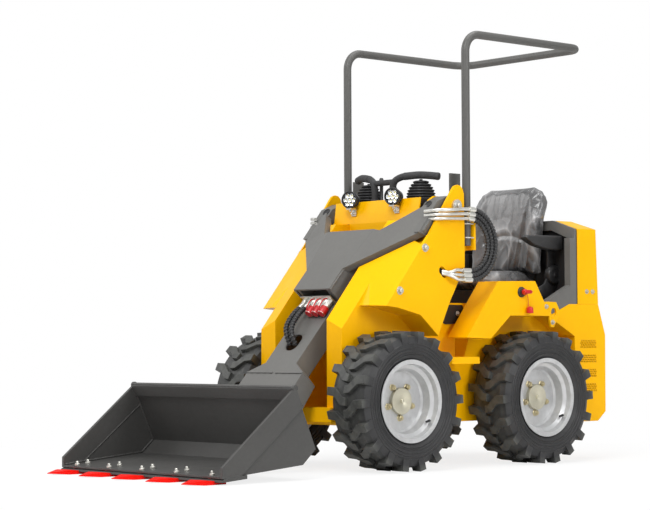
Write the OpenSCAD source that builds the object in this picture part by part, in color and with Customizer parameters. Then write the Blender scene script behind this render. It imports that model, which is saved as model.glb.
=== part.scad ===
// Mini loader on four wheels with a forked boom, a toothed bucket, a seat and a roll bar.
// Lengths are millimetres. Front is -Y, the machine's left is +X, the ground is Z = 0.

/* [Wheels] */
// outer diameter of a tyre over its lugs
tyre_d = 584; // [520:700]
// tyre section width
tyre_w = 216; // [180:260]
// height of a lug above the tread
lug_h = 18; // [12:24]
// lugs along one side of the tread
lugs = 18; // [16:22]
// diameter of the rim flange
rim_d = 345; // [320:400]
// distance between the axles
wheelbase = 824; // [760:900]
// gap between the tub's side and a tyre
tyre_gap = 17; // [10:30]
// wheel bolts on the hub circle
wheel_bolts = 5; // [4:6]
// diameter of the wheel bolt circle
bolt_circle = 140; // [110:160]

/* [Chassis] */
// half width over the side tanks
tank_half = 420; // [410:430]
// half width over the step lips
lip_half = 412; // [400:420]
// half width of the tub between the tyres
tub_half = 262; // [240:270]
// underside of the tub
belly_z = 190; // [170:210]
// top of the foot floor
floor_z = 472; // [460:480]
// front face of the tub and towers
nose_y = -600; // [-620:-580]
// last face of the rear body
tail_y = 945; // [900:960]
// top of the engine hood
hood_z = 1093; // [1060:1120]
// half width of the hood's flat top
shoulder_x = 231; // [200:260]
// half width of the rear body
rear_half = 360; // [340:380]
// perforated panels on the rear sides: length, height, lowest edge and pitch
vent_l = 116; // [90:130]
vent_h = 40; // [30:50]
vent_z = 306; // [290:320]
vent_pitch = 66; // [60:70]
// sheet thickness of the shaped covers
sheet = 5; // [4:8]

/* [Towers] */
// inner wall of a tower from the middle plane
tower_in = 167; // [165:175]
// outer plate of a tower from the middle plane
tower_out = 400; // [390:410]
// half width of the panel in front of the console
panel_half = 272; // [240:274]
// top face of the control console
console_z = 1160; // [1150:1170]
// top of a tower block behind the boom
tower_top = 1060; // [1050:1066]

/* [Boom] */
// height of the boom pivot
pivot_z = 1120; // [1110:1130]
// fore and aft place of the boom pivot from the middle of the wheelbase
pivot_y = -63; // [-70:-55]
// slope of the boom neck at rest
boom_slope = 48.4; // [47:50]
// diameter of a boom pin
pin_d = 30; // [26:34]
// outside of a boom hose
hose_d = 18; // [14:19]
// half width of the neck
neck_half = 100; // [90:110]
// bore of the lift cylinder barrel, outside
lift_barrel_d = 70; // [60:76]
// lift cylinder rod
lift_rod_d = 36; // [30:40]
// tilt cylinder barrel, outside
tilt_barrel_d = 52; // [46:54]
// tilt cylinder rod
tilt_rod_d = 26; // [22:30]

/* [Bucket] */
// half width of the bucket
bucket_half = 530; // [480:560]
// wall thickness of the bucket
bucket_wall = 8; // [6:12]
// distance between the teeth
tooth_pitch = 225; // [200:230]

/* [Roll bar] */
// tube diameter
bar_d = 48; // [42:60]
// height of the top tube's centre line
bar_top = 1874; // [1800:1950]
// centre line of a post from the middle plane
bar_half = 381.5; // [378:385]
// last centre line of the rear cross tube
bar_back = 780; // [700:840]

/* [Seat] */
// width of the cushion
seat_w = 450; // [400:470]
// top of the cushion
seat_z = 840; // [820:850]

/* [Hidden] */
$fn = 48;
axle_z = tyre_d / 2;
axle_y = wheelbase / 2;
track = 2 * (tub_half + tyre_gap) + tyre_w;
tooth_tip_y = -1580;
shift_y = -(tooth_tip_y + tail_y) / 2;
// boom points in the boom's own plane: [along the slope, square to it]
lift_eye = [-299, 18];
tilt_base = [-659, -12];
tilt_eye = [-1149, -5];
bucket_pin = [-1215, -100];
lift_base = [-250, 280];
// arm plane: corner where arm and hood meet, and its two turns
arm_corner = [150, -311, 1022];
arm_turn = 50.4;
arm_lean = 14.83;
arm_outline = [[-36, -231], [242, 36], [246, 150], [176, 168], [30, -1], [0, 0]];
// middle of the boom hoses' loops
loop_y = -6;
loop_z = 953;
// hinge of the engine hood, as [y, z], and its knuckles along x
hood_hinge = [898, 706.3];
knuckle_d = 16;
// side outlines, as [y, z]
bucket_side = [[-1085, 363], [-1450, 66], [-1450, 24], [-1046, 60], [-979, 119]];

// a tread lug seen from outside, as [across from the middle, round the tread]: an angled bar
lug_bar = [[107, -38], [107, -4], [66, 0], [26, 36], [-6, 39], [-6, 6], [14, 2], [58, -36]];

YELLOW = [1.0, 0.72, 0.02];
GREY = [0.36, 0.36, 0.34];
BLACK = [0.06, 0.06, 0.06];
ZINC = [0.78, 0.76, 0.68];
RED = [0.8, 0.05, 0.06];

// helpers

// an outline in [y, z] made into a slab from x0 to x1
module slab(x0, x1, outline) {
  translate([x0, 0, 0]) rotate([90, 0, 90]) linear_extrude(x1 - x0) polygon(outline);
}

// a round bar along X from x0 to x1 at [y, z]
module bar_x(x0, x1, at, d) {
  translate([x0, at[0], at[1]]) rotate([0, 90, 0]) cylinder(d = d, h = x1 - x0);
}

// a round bar between two points
module rod(a, b, d) {
  v = b - a;
  l = norm(v);
  translate(a) rotate([0, acos(v[2] / l), atan2(v[1], v[0])]) cylinder(d = d, h = l);
}

// a bent round bar through a list of points, with balls at the bends
module bent_bar(points, d, bulge = 0.6) {
  for (i = [0 : len(points) - 2]) rod(points[i], points[i + 1], d);
  for (i = [1 : len(points) - 2]) translate(points[i]) sphere(d = d + bulge);
}

// an outline with each corner cut to a short arc of radius r
function round_corners(p, r) = [for (i = [0 : len(p) - 1])
  let (a = p[(i + len(p) - 1) % len(p)] - p[i], b = p[(i + 1) % len(p)] - p[i],
    u = a / norm(a), v = b / norm(b), half = acos(u * v) / 2, t = min(r / tan(half), norm(a) / 2.2, norm(b) / 2.2))
  for (f = [0 : 4]) let (g = f / 4) p[i] + u * t * (1 - g) * (1 - g) + v * t * g * g];

// the whole machine stands with its box's bottom middle on the origin
module placed() {
  translate([0, shift_y, 0]) children();
}

// children drawn in the boom's own plane: x across, y up the slope, z square to it
module on_boom() {
  translate([0, pivot_y, pivot_z]) rotate([boom_slope, 0, 0]) children();
}

// children drawn on the left arm's plane
module on_arm() {
  translate(arm_corner) rotate([arm_turn, 0, 0]) rotate([0, arm_lean, 0]) children();
}

module both_sides() {
  children();
  mirror([1, 0, 0]) children();
}

// machine [y, z] of a boom point
function at_boom(p) = [pivot_y + p[0] * cos(boom_slope) - p[1] * sin(boom_slope),
  pivot_z + p[0] * sin(boom_slope) + p[1] * cos(boom_slope)];

// chassis

module hull_tub() {
  color(YELLOW) difference() {
    union() {
      slab(-tub_half, tub_half, [[nose_y, belly_z + 14], [nose_y + 30, belly_z], [735, belly_z],
        [735, 560], [560, 650], [556, 690], [190, 690], [120, floor_z], [-330, floor_z], [-330, 296], [nose_y, 296]]);
      // the step lip between the wheels
      both_sides() translate([tub_half, -104, floor_z - 30]) cube([lip_half - tub_half, 167, 30]);
    }
    // bay of the lift cylinder, open to the front
    translate([-tower_in, nose_y - 1, 240]) cube([2 * tower_in, 420, 400]);
    // foot well
    translate([-tub_half + 8, -150, 300]) cube([2 * tub_half - 16, 250, 400]);
    // a lip is a thin plate
    both_sides() translate([tub_half, -99, floor_z - 31]) cube([lip_half - tub_half - 5, 157, 25]);
  }
  // side walls between the towers and the tanks
  color(YELLOW) both_sides() slab(tub_half, tub_half + sheet, [[-173, floor_z - 40], [-173, 562], [-102, 706], [148, 706], [27, 553], [58, 552], [58, floor_z - 40]]);
  // seat of the lift cylinder's lower pin
  color(YELLOW) both_sides() difference() {
    slab(42, 56, [[-310, 238], [-185, 238], [-225, 320], [-275, 320]]);
    bar_x(40, 60, lift_base, pin_d + 1);
  }
}

module front_beam() {
  color(YELLOW) translate([-tub_half, nose_y - 62, 206]) cube([2 * tub_half, 62, 60]);
}

module tower_solid() {
  // inner box and outer housing, then trimmed to the leaning front
  difference() {
    union() {
      slab(tower_in, tub_half, [[nose_y, 296], [nose_y, 760], [-240, 1110], [50, 1110], [50, 946],
        [-100, 714], [-175, 562], [-175, floor_z], [-330, floor_z], [-330, 296]]);
      slab(tub_half, 352, [[-500, 690], [-406, 680], [-277, 650], [-175, 562], [-100, 714], [50, 946],
        [50, 1110], [-240, 1110]]);
      slab(352, tower_out, [[-500, 690], [-406, 680], [-277, 650], [-175, 562], [-100, 714],
        [-12, 860], [-12, 1110], [-240, 1110]]);
    }
    on_arm() translate([-300, -600, -20]) cube([900, 1400, 600]);
    on_arm() translate([0, 0, -45]) linear_extrude(80) offset(delta = 14) polygon(arm_outline);
    translate([100, -400, tower_top]) cube([400, 600, 200]);
    // room for the arm's end round its pin
    slab(276, 388, [[-262, 940], [-63, 1058], [-8, 1058], [-8, 1200], [-262, 1200]]);
  }
}

module tower() {
  color(YELLOW) difference() {
    union() {
      tower_solid();
      // outer and inner ears of the boom pin
      slab(388, tower_out, [[-262, 940], [-86, 1186], [-72, 1203], [-54, 1210], [-36, 1207], [-22, 1194], [-14, 1172], [-12, tower_top - 120]]);
      slab(276, 292, [[-170, tower_top - 30], [-112, 1150], [-85, 1166], [-41, 1166], [-14, 1150], [-8, tower_top - 30]]);
    }
    bar_x(270, 410, [pivot_y, pivot_z], pin_d);
    // hose slot
    hull() {
      bar_x(380, 410, [-150, 840], 34);
      bar_x(380, 410, [-135, 826], 34);
    }
  }
}

module tower_left() {
  tower();
}

module tower_right() {
  mirror([1, 0, 0]) tower();
}

module boom_pins() {
  color(ZINC) both_sides() {
    bar_x(276, 402, [pivot_y, pivot_z], pin_d);
    bar_x(tower_out, tower_out + 10, [pivot_y, pivot_z], 52);
  }
}

module front_panel() {
  color(YELLOW) {
    slab(-panel_half, panel_half, [[-166, tower_top + 2], [-152, console_z], [-146, console_z], [-160, tower_top + 2]]);
    translate([-tower_in, -166, floor_z]) cube([2 * tower_in, 6, tower_top + 2 - floor_z]);
  }
}

module console_top() {
  color(BLACK) translate([-240, -146, console_z - 16]) cube([480, 152, 16]);
  color(BLACK) both_sides() translate([228, -140, tower_top]) cube([12, 140, console_z - 16 - tower_top]);
}

module hand_rail() {
  color(BLACK) both_sides() bent_bar([[58, -112, console_z], [58, -112, 1218], [72, -110, 1246], [100, -98, 1262], [170, -67, 1266], [255, -30, 1254]], 28);
  color(BLACK) bar_x(-66, 66, [-110.8, 1236], 24);
}

module lever_boots() {
  color(BLACK) both_sides() translate([168, -46, console_z]) {
    rotate_extrude() polygon([[0, 0], [66, 0], [66, 6], [58, 12], [64, 18], [56, 24], [61, 30], [52, 36], [57, 42],
      [47, 48], [51, 54], [40, 60], [43, 66], [31, 71], [33, 77], [18, 82], [0, 82]]);
    translate([0, 0, 80]) cylinder(d = 16, h = 9);
  }
}

module work_lamps() {
  color(BLACK) both_sides() translate([139, -204, 1169]) {
    rotate([-90, 0, 0]) difference() {
      cylinder(d = 78, h = 36);
      translate([0, 0, -1]) cylinder(d = 68, h = 9);
    }
    translate([-12, 12, -44]) cube([24, 26, 6]);
    translate([-12, 32, -77]) cube([24, 10, 39]);
  }
}

module lamp_lenses() {
  color([0.9, 0.92, 0.95]) both_sides() translate([139, -204, 1169]) rotate([-90, 0, 0])
    translate([0, 0, 2]) cylinder(d = 68, h = 6);
}

module roll_bar() {
  r = 80;
  color(GREY) {
    both_sides() {
      translate([bar_half, 19, 950]) cylinder(d = bar_d, h = bar_top - r - 950);
      translate([bar_half, 19 + r, bar_top - r]) rotate([90, 0, -90]) rotate_extrude(angle = 90)
        translate([r, 0]) circle(d = bar_d);
      translate([bar_half, 19 + r, bar_top]) rotate([-90, 0, 0]) cylinder(d = bar_d, h = bar_back - r - 19 - r);
      translate([bar_half - r, bar_back - r, bar_top]) rotate_extrude(angle = 90)
        translate([r, 0]) circle(d = bar_d);
    }
    bar_x(-bar_half + r, bar_half - r, [bar_back, bar_top], bar_d);
  }
}

module bar_sockets() {
  color(YELLOW) both_sides() difference() {
    translate([352, -10, 930]) cube([60, 60, 150]);
    translate([bar_half, 19, 950]) cylinder(d = bar_d, h = 200);
  }
}

module guard_plates() {
  color(GREY) both_sides() translate([306, -11, tower_top]) cube([10, 60, 208]);
}

module side_tanks() {
  color(YELLOW) both_sides() {
    slab(300, tank_half, [[-22, 555], [172, 800], [409, 804], [466, 714], [500, 714], [500, 650], [249, 650], [126, 550]]);
    // set back beside the side cover
    slab(tub_half, 300, [[28, 553], [222, 798], [409, 804], [466, 714], [500, 714], [500, 650], [249, 650], [126, 550]]);
  }
}

module isolator() {
  color(BLACK) bar_x(tank_half, tank_half + 16, [318, 754], 46);
  color(RED) bar_x(tank_half + 16, tank_half + 42, [318, 754], 30);
}

module lift_eyes() {
  color(YELLOW) both_sides() difference() {
    slab(408, 420, [[500, 640], [500, 714], [546, 712], [566, 680], [556, 640], [530, 600], [510, 600]]);
    bar_x(400, 430, [530, 668], 36);
  }
}

module side_covers() {
  color([0.2, 0.2, 0.2]) both_sides() slab(tub_half + sheet, tub_half + 2 * sheet,
    [[-3, 613], [50, 615], [90, 640], [111, 678], [98, 698], [-20, 698], [-58, 640]]);
}

module rear_body() {
  color(YELLOW) {
    difference() {
      slab(-rear_half, rear_half, [[735, 172], [890, 172], [943, 215], [tail_y, 565], [898, 706], [700, 706],
        [622, 675], [560, 650], [735, 560]]);
      slab(-rear_half + sheet, rear_half - sheet, [[739, 178], [888, 178], [937, 217], [tail_y - 6, 563], [893, 716],
        [699, 716], [620, 684], [566, 652], [739, 564]]);
      // openings behind the perforated side panels
      for (row = [0 : 3]) translate([-rear_half - 1, 770, vent_z + vent_pitch * row]) cube([2 * rear_half + 2, vent_l, vent_h]);
      both_sides() bar_x(115, 200, hood_hinge, knuckle_d + 10);
    }
    both_sides() bar_x(200, 240, hood_hinge, knuckle_d);
  }
}

module vent_grilles() {
  color(YELLOW) both_sides() for (row = [0 : 3]) translate([rear_half - sheet, 770, vent_z + vent_pitch * row]) difference() {
    cube([sheet, vent_l, vent_h]);
    for (line = [0, 1]) for (k = [0 : 6 - line])
      translate([-1, vent_l * (k + 0.65 + line / 2) / 7.3, vent_h * (0.3 + 0.4 * line)]) rotate([0, 90, 0]) cylinder(d = 13, h = 2 * sheet, $fn = 4);
  }
}

module engine_hood() {
  outline = [[758, 706.3], [898, 706.3], [884, 1052], [862, hood_z], [758, hood_z]];
  color(YELLOW) difference() {
    slab(-rear_half, rear_half, outline);
    slab(-rear_half + sheet, rear_half - sheet, [[750, 700], [893, 700], [879, 1049], [859, hood_z - sheet], [750, hood_z - sheet]]);
    both_sides() hood_shoulder(0);
    both_sides() bar_x(198, 244, hood_hinge, knuckle_d + 10);
  }
  // the shoulders are closed by sloping sheets
  color(YELLOW) both_sides() difference() {
    intersection() {
      slab(-rear_half, rear_half, outline);
      hood_shoulder(-sheet);
    }
    hood_shoulder(0);
  }
  color(YELLOW) both_sides() bar_x(120, 198, hood_hinge, knuckle_d);
}

// the wedge above a sloping shoulder of the hood, sunk by drop
module hood_shoulder(drop) {
  low = hood_z - 43 + drop;
  translate([0, 960, 0]) rotate([90, 0, 0]) linear_extrude(260)
    polygon([[shoulder_x, hood_z + drop], [rear_half, low], [rear_half + 9, low], [rear_half + 9, hood_z + 20], [shoulder_x, hood_z + 20]]);
}

module hood_frames() {
  // a portal of folded sheet in front of the hood, deeper at its posts
  color(GREY) translate([0, 750, 0]) rotate([90, 0, 0]) linear_extrude(15)
    polygon([[-rear_half, 706], [-rear_half, hood_z - 43], [-shoulder_x, hood_z], [shoulder_x, hood_z], [rear_half, hood_z - 43],
      [rear_half, 706], [rear_half - 34, 706], [rear_half - 34, hood_z - 86], [shoulder_x - 10, hood_z - 45], [-shoulder_x + 10, hood_z - 45],
      [-rear_half + 34, hood_z - 86], [-rear_half + 34, 706]]);
  color(GREY) both_sides() translate([rear_half - 34, 708, 706]) cube([34, 30, hood_z - 86 - 706]);
  // sills that run down beside the seat
  color(GREY) both_sides() slab(rear_half - 34, rear_half, [[709, 706], [709, 792], [542, 714], [560, 652], [622, 676], [700, 706.5]]);
}

module engine_block() {
  color([0.25, 0.25, 0.25]) translate([-180, 745, 178]) cube([360, 130, 440]);
}

module seat_deck() {
  color(BLACK) translate([-tub_half, 180, 690]) cube([2 * tub_half, 376, 20]);
  color(BLACK) slab(-rear_half + 35, rear_half - 35, [[556, 690], [700, 706], [750, 706], [750, 716], [700, 716], [556, 702]]);
}

module seat_base() {
  color(BLACK) translate([-170, 320, 710]) cube([340, 230, 60]);
}

module seat_cushion() {
  color([0.1, 0.1, 0.1]) translate([0, 0, 770]) linear_extrude(seat_z - 770)
    polygon(round_corners([[-seat_w / 2, 300], [seat_w / 2, 300], [seat_w / 2, 700], [-seat_w / 2, 700]], 60));
}

module seat_back() {
  w = seat_w / 2;
  color([0.1, 0.1, 0.1]) intersection() {
    slab(-w, w, [[640, seat_z], [702, seat_z], [726, 1093], [745, 1180], [742, 1258], [705, 1262], [676, 1180]]);
    translate([0, 900, 0]) rotate([90, 0, 0]) linear_extrude(400)
      polygon(round_corners([[-w + 20, seat_z - 10], [w - 20, seat_z - 10], [w, 1040], [w - 34, 1266], [-w + 34, 1266], [-w, 1040]], 70));
  }
}

module armrests() {
  color(BLACK) both_sides() {
    slab(seat_w / 2 + 13, seat_w / 2 + 63, [[495, 1010], [520, 1019], [748, 1021], [744, 953], [640, 955], [560, 972], [510, 996]]);
    translate([seat_w / 2, 690, 850]) cube([13, 50, 150]);
    // recliner cover and its bracket
    bar_x(seat_w / 2, seat_w / 2 + 30, [728, 842], 92);
    slab(seat_w / 2, seat_w / 2 + 12, [[610, 735], [748, 735], [748, 800], [700, 850], [670, 800], [610, 776]]);
  }
}

module wheel_motors() {
  color([0.25, 0.25, 0.25]) both_sides() for (s = [-1, 1]) {
    bar_x(tub_half, track / 2 - 15, [s * axle_y, axle_z], 120);
    bar_x(track / 2 - 15, track / 2 + 21.8, [s * axle_y, axle_z], 60);
  }
}

module boom_hoses() {
  color(ZINC) both_sides() {
    translate([tower_out, -32, loop_z + 98]) cube([48, 16, 68]);
    translate([tower_out, -70, loop_z - 166]) cube([48, 18, 68]);
  }
  color(BLACK) both_sides() for (i = [0 : 2]) translate([tower_out + 27, loop_y, loop_z]) {
    r = 112 + 20 * i;
    rotate([0, 90, 0]) rotate_extrude(angle = 180) translate([r, 0]) circle(d = hose_d);
    translate([0, 0, r]) rotate([90, 0, 0]) cylinder(d = hose_d, h = loop_y + 16.5);
    translate([0, 0, -r]) rotate([90, 0, 0]) cylinder(d = hose_d, h = loop_y + 52.5);
  }
}

// boom

module boom_arms() {
  color(GREY) {
    difference() {
      union() {
        both_sides() on_arm() translate([0, 0, -34]) linear_extrude(34) polygon(arm_outline);
        both_sides() slab(300, 375, [[-262, 1002], [-150, 1137], [-85, 1163], [-63, 1165], [-30, 1150], [-18, 1120], [-30, 1090], [-63, 1075], [-215, 985]]);
        // hood plate and side walls
        on_boom() translate([0, 0, 113]) linear_extrude(8) polygon([[-150, -238], [150, -238], [115, -470], [115, -583], [-115, -583], [-115, -470]]);
        both_sides() on_boom() translate([0, 0, 40]) linear_extrude(76)
          polygon([[150, -238], [150, -252], [115, -470], [115, -583], [105, -583], [105, -460], [130, -250], [120, -238]]);
        // ribs on the neck and ears of the lift rod
        both_sides() on_boom() translate([86, -580, 40]) cube([12, 160, 76]);
        both_sides() on_boom() translate([28, -330, -10]) cube([14, 92, 126]);
      }
      both_sides() bar_x(290, 380, [pivot_y, pivot_z], pin_d + 1);
    }
    // split pin of the lift rod
    both_sides() bar_x(18.3, 46, at_boom(lift_eye), 28);
  }
}

module boom_neck() {
  color(GREY) {
    on_boom() difference() {
      union() {
        translate([-neck_half, -930, -50]) cube([2 * neck_half, 510, 90]);
        translate([0, 0, -50]) linear_extrude(90) polygon([[-neck_half, -930], [-180, -980], [-180, -985], [180, -985], [180, -980], [neck_half, -930]]);
      }
      translate([-neck_half + 8, -990, -60]) cube([2 * neck_half - 16, 580, 92]);
      // hose slot
      translate([-42, -860, 0]) cube([76, 90, 60]);
    }
    both_sides() on_boom() difference() {
      translate([36, -700, -45]) cube([12, 80, 77]);
    }
    both_sides() bar_x(28.3, 52, at_boom(tilt_base), 24);
  }
}

module boom_nose() {
  color(GREY) difference() {
    union() {
      on_boom() difference() {
        translate([-180, -1120, -50]) cube([360, 135, 90]);
        translate([-164, -1200, -60]) cube([328, 300, 92]);
        translate([-44, -1130, 0]) cube([88, 74, 60]);
      }
      both_sides() on_boom() translate([180, 0, 0]) rotate([90, 0, -90]) linear_extrude(16)
        polygon([[985, -50], [985, 40], [1120, 40], [1235, -62], [1257, -100], [1240, -132], [1215, -142], [1180, -132], [1100, -60]]);
    }
    both_sides() bar_x(100, 200, at_boom(bucket_pin), pin_d);
  }
  color(ZINC) both_sides() bar_x(136, 186, at_boom(bucket_pin), pin_d);
}

module quick_couplers() {
  color(ZINC) on_boom() translate([-84, -600, 40]) cube([190, 6, 50]);
  color(ZINC) on_boom() for (i = [-1 : 1]) translate([i * 40 + 42, -600, 62]) rotate([90, 0, 0]) cylinder(d = 30, h = 40);
  color(RED) on_boom() for (i = [-1 : 1]) translate([i * 40 + 42, -640, 62]) rotate([90, 0, 0]) cylinder(d = 36, h = 34);
}

module neck_hoses() {
  color(BLACK) on_boom() for (s = [0, 1])
    bent_bar([[-70 + 34 * s, -600, 66], [-70 + 34 * s, -640, 66], [-64 + 34 * s, -720, 84], [-36 + 34 * s, -800, 70], [-24 + 34 * s, -826, 34]], 22, 3);
}

// cylinders

module lift_barrel() {
  e = at_boom(lift_eye);
  b = [0, lift_base[0], lift_base[1]];
  d = [0, e[0] - b[1], e[1] - b[2]] / norm([0, e[0] - b[1], e[1] - b[2]]);
  color(BLACK) {
    difference() {
      rod(b + 20 * d, b + 540 * d, lift_barrel_d);
      rod(b + 60 * d, b + 541 * d, lift_rod_d + 1);
    }
    bar_x(-36, 36, lift_base, 60);
    bar_x(-58, 58, lift_base, pin_d);
  }
}

module lift_rod() {
  e = at_boom(lift_eye);
  b = [0, lift_base[0], lift_base[1]];
  t = [0, e[0], e[1]];
  d = (t - b) / norm(t - b);
  color(ZINC) {
    rod(b + 80 * d, t - 10 * d, lift_rod_d);
    bar_x(-18, 18, e, 56);
  }
}

module tilt_barrel() {
  b2 = at_boom(tilt_base);
  e2 = at_boom(tilt_eye);
  b = [0, b2[0], b2[1]];
  t = [0, e2[0], e2[1]];
  d = (t - b) / norm(t - b);
  color(BLACK) {
    difference() {
      rod(b + 16 * d, b + 400 * d, tilt_barrel_d);
      rod(b + 50 * d, b + 401 * d, tilt_rod_d + 1);
    }
    bar_x(-28, 28, b2, 46);
  }
}

module tilt_rod() {
  b2 = at_boom(tilt_base);
  e2 = at_boom(tilt_eye);
  b = [0, b2[0], b2[1]];
  t = [0, e2[0], e2[1]];
  d = (t - b) / norm(t - b);
  color(ZINC) {
    rod(b + 100 * d, t - 16 * d, tilt_rod_d);
    bar_x(-12, 12, e2, 46);
  }
}

// bucket

module coupler() {
  q = at_boom(bucket_pin);
  t = at_boom(tilt_eye);
  foot = bucket_side[4];
  rise = (bucket_side[0] - foot) / norm(bucket_side[0] - foot);
  behind = [rise[1], -rise[0]];
  color(GREY) {
    slab(-240, 240, [foot, foot + 250 * rise, foot + 250 * rise + 14 * behind, foot + 14 * behind]);
    difference() {
      both_sides() slab(132, 154, [[q[0] + 36, q[1] - 10], [q[0] + 26, q[1] + 30], [q[0] - 20, q[1] + 42], [-1030, 255], [-972, 122], [q[0], q[1] - 38]]);
      both_sides() bar_x(120, 160, q, pin_d + 1);
    }
    both_sides() slab(20, 34, [[t[0] + 26, t[1] + 4], [t[0] + 6, t[1] + 26], [-1050, 300], [-1003, 192], [t[0] - 2, t[1] - 26], [t[0] + 20, t[1] - 18]]);
    both_sides() bar_x(12.3, 34, t, 22);
  }
}

module bucket_shell() {
  a = bucket_side[0];
  b = bucket_side[1];
  n = [b[1] - a[1], a[0] - b[0]] / norm(b - a) * 85;
  color(GREY) {
    both_sides() slab(bucket_half - bucket_wall, bucket_half, bucket_side);
    // doubler strip along the front edge of a side
    both_sides() intersection() {
      slab(bucket_half, bucket_half + 6, bucket_side);
      slab(bucket_half - 1, bucket_half + 7, [a, b, bucket_side[2], [b[0] + 90, 32], b - n, a - n]);
    }
    slab(-bucket_half + bucket_wall, bucket_half - bucket_wall, [[-1085, 363], [-1093, 360], [-988, 122],
      [-1050, 68], [-1450, 32], [-1450, 24], [-1046, 60], [-979, 119]]);
    // rolled top edge
    slab(-bucket_half + bucket_wall, bucket_half - bucket_wall, [[-1093, 360], [-1103, 356], [-1083, 312], [-1073, 316]]);
  }
}

module cutting_edge() {
  color(GREY) slab(-bucket_half - 6, bucket_half + 6, [[-1456, 10], [-1456, 16], [-1440, 24.8], [-1330, 34.6], [-1330, 20]]);
}

module bucket_teeth() {
  color(RED) for (i = [-2 : 2]) translate([i * tooth_pitch, 0, 0]) {
    difference() {
      slab(-45, 45, [[tooth_tip_y, 6], [tooth_tip_y, 9], [-1500, 19], [-1456, 16], [-1456, 10], [-1400, 14.4], [-1400, 1], [-1500, 1]]);
      translate([0, tooth_tip_y, -1]) rotate([0, 0, 58]) translate([0, -100, 0]) cube([200, 100, 60]);
      mirror([1, 0, 0]) translate([0, tooth_tip_y, -1]) rotate([0, 0, 58]) translate([0, -100, 0]) cube([200, 100, 60]);
    }
  }
}

// wheels

module tyre(side, end) {
  r = tyre_d / 2;
  h = tyre_w / 2;
  rr = rim_d / 2;
  c = r - lug_h;
  top = sqrt(r * r - 39 * 39);
  color(BLACK) translate([side * track / 2, end * axle_y, axle_z]) rotate([0, 90, 0]) {
    rotate_extrude($fn = 96)
      polygon([[rr - 14, -h + 30], [rr + 16, -h + 6], [rr + 60, -h], [c - 34, -h + 2], [c - 8, -h + 14], [c, -h + 40],
        [c, h - 40], [c - 8, h - 14], [c - 34, h - 2], [rr + 60, h], [rr + 16, h - 6], [rr - 14, h - 30]]);
    // lugs of the two sides stand half a pitch apart
    for (s = [-1, 1]) for (k = [0 : lugs - 1]) rotate([0, 0, (k + s / 4) * 360 / lugs])
      translate([c - 40, 0, 0]) rotate([0, 90, 0]) linear_extrude(top - c + 40)
        polygon([for (q = lug_bar) [s * q[0] * tyre_w / 216, q[1]]]);
  }
}

module rim(side, end) {
  h = tyre_w / 2;
  rr = rim_d / 2;
  color([0.8, 0.8, 0.8]) translate([side * track / 2, end * axle_y, axle_z]) rotate([0, side * 90, 0]) difference() {
    rotate_extrude($fn = 96) polygon([[0, 14], [0, 22], [120, 22], [128, 30], [136, h - 44], [rr - 22, h - 34], [rr - 18, h - 12],
      [rr, h - 10], [rr, h - 14], [rr - 14, h - 30], [rr - 14, -h + 30], [rr, -h + 14], [rr, -h + 10], [rr - 18, -h + 12], [rr - 24, -h + 34], [130, -h + 44], [128, 14]]);
    cylinder(d = 90, h = 100, center = true);
    for (k = [0 : wheel_bolts - 1]) rotate([0, 0, k * 360 / wheel_bolts]) translate([bolt_circle / 2, 0, 0]) cylinder(d = 16, h = 100, center = true);
  }
}

module hub(side, end) {
  color(ZINC) translate([side * track / 2, end * axle_y, axle_z]) rotate([0, side * 90, 0]) {
    translate([0, 0, 22]) cylinder(d = 112, h = 18);
    translate([0, 0, 40]) cylinder(d = 20, h = 3);
    for (k = [0 : wheel_bolts - 1]) rotate([0, 0, k * 360 / wheel_bolts]) translate([bolt_circle / 2, 0, 22]) cylinder(d = 25, h = 16, $fn = 6);
  }
}

placed() hull_tub();
placed() front_beam();
placed() tower_left();
placed() tower_right();
placed() front_panel();
placed() console_top();
placed() hand_rail();
placed() lever_boots();
placed() work_lamps();
placed() lamp_lenses();
placed() boom_pins();
placed() roll_bar();
placed() bar_sockets();
placed() guard_plates();
placed() side_tanks();
placed() isolator();
placed() lift_eyes();
placed() side_covers();
placed() rear_body();
placed() vent_grilles();
placed() engine_hood();
placed() hood_frames();
placed() engine_block();
placed() seat_deck();
placed() seat_base();
placed() seat_cushion();
placed() seat_back();
placed() armrests();
placed() wheel_motors();
placed() boom_hoses();
placed() boom_arms();
placed() boom_neck();
placed() boom_nose();
placed() quick_couplers();
placed() neck_hoses();
placed() lift_barrel();
placed() lift_rod();
placed() tilt_barrel();
placed() tilt_rod();
placed() coupler();
placed() bucket_shell();
placed() cutting_edge();
placed() bucket_teeth();
placed() tyre(1, -1);  // tyre_front_left
placed() rim(1, -1);  // rim_front_left
placed() hub(1, -1);  // hub_front_left
placed() tyre(-1, -1);  // tyre_front_right
placed() rim(-1, -1);  // rim_front_right
placed() hub(-1, -1);  // hub_front_right
placed() tyre(1, 1);  // tyre_rear_left
placed() rim(1, 1);  // rim_rear_left
placed() hub(1, 1);  // hub_rear_left
placed() tyre(-1, 1);  // tyre_rear_right
placed() rim(-1, 1);  // rim_rear_right
placed() hub(-1, 1);  // hub_rear_right
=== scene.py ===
"""Mini loader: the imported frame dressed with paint, rubber, hoses, seat and fittings."""
import math

import bpy
from mathutils import Matrix, Vector


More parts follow.
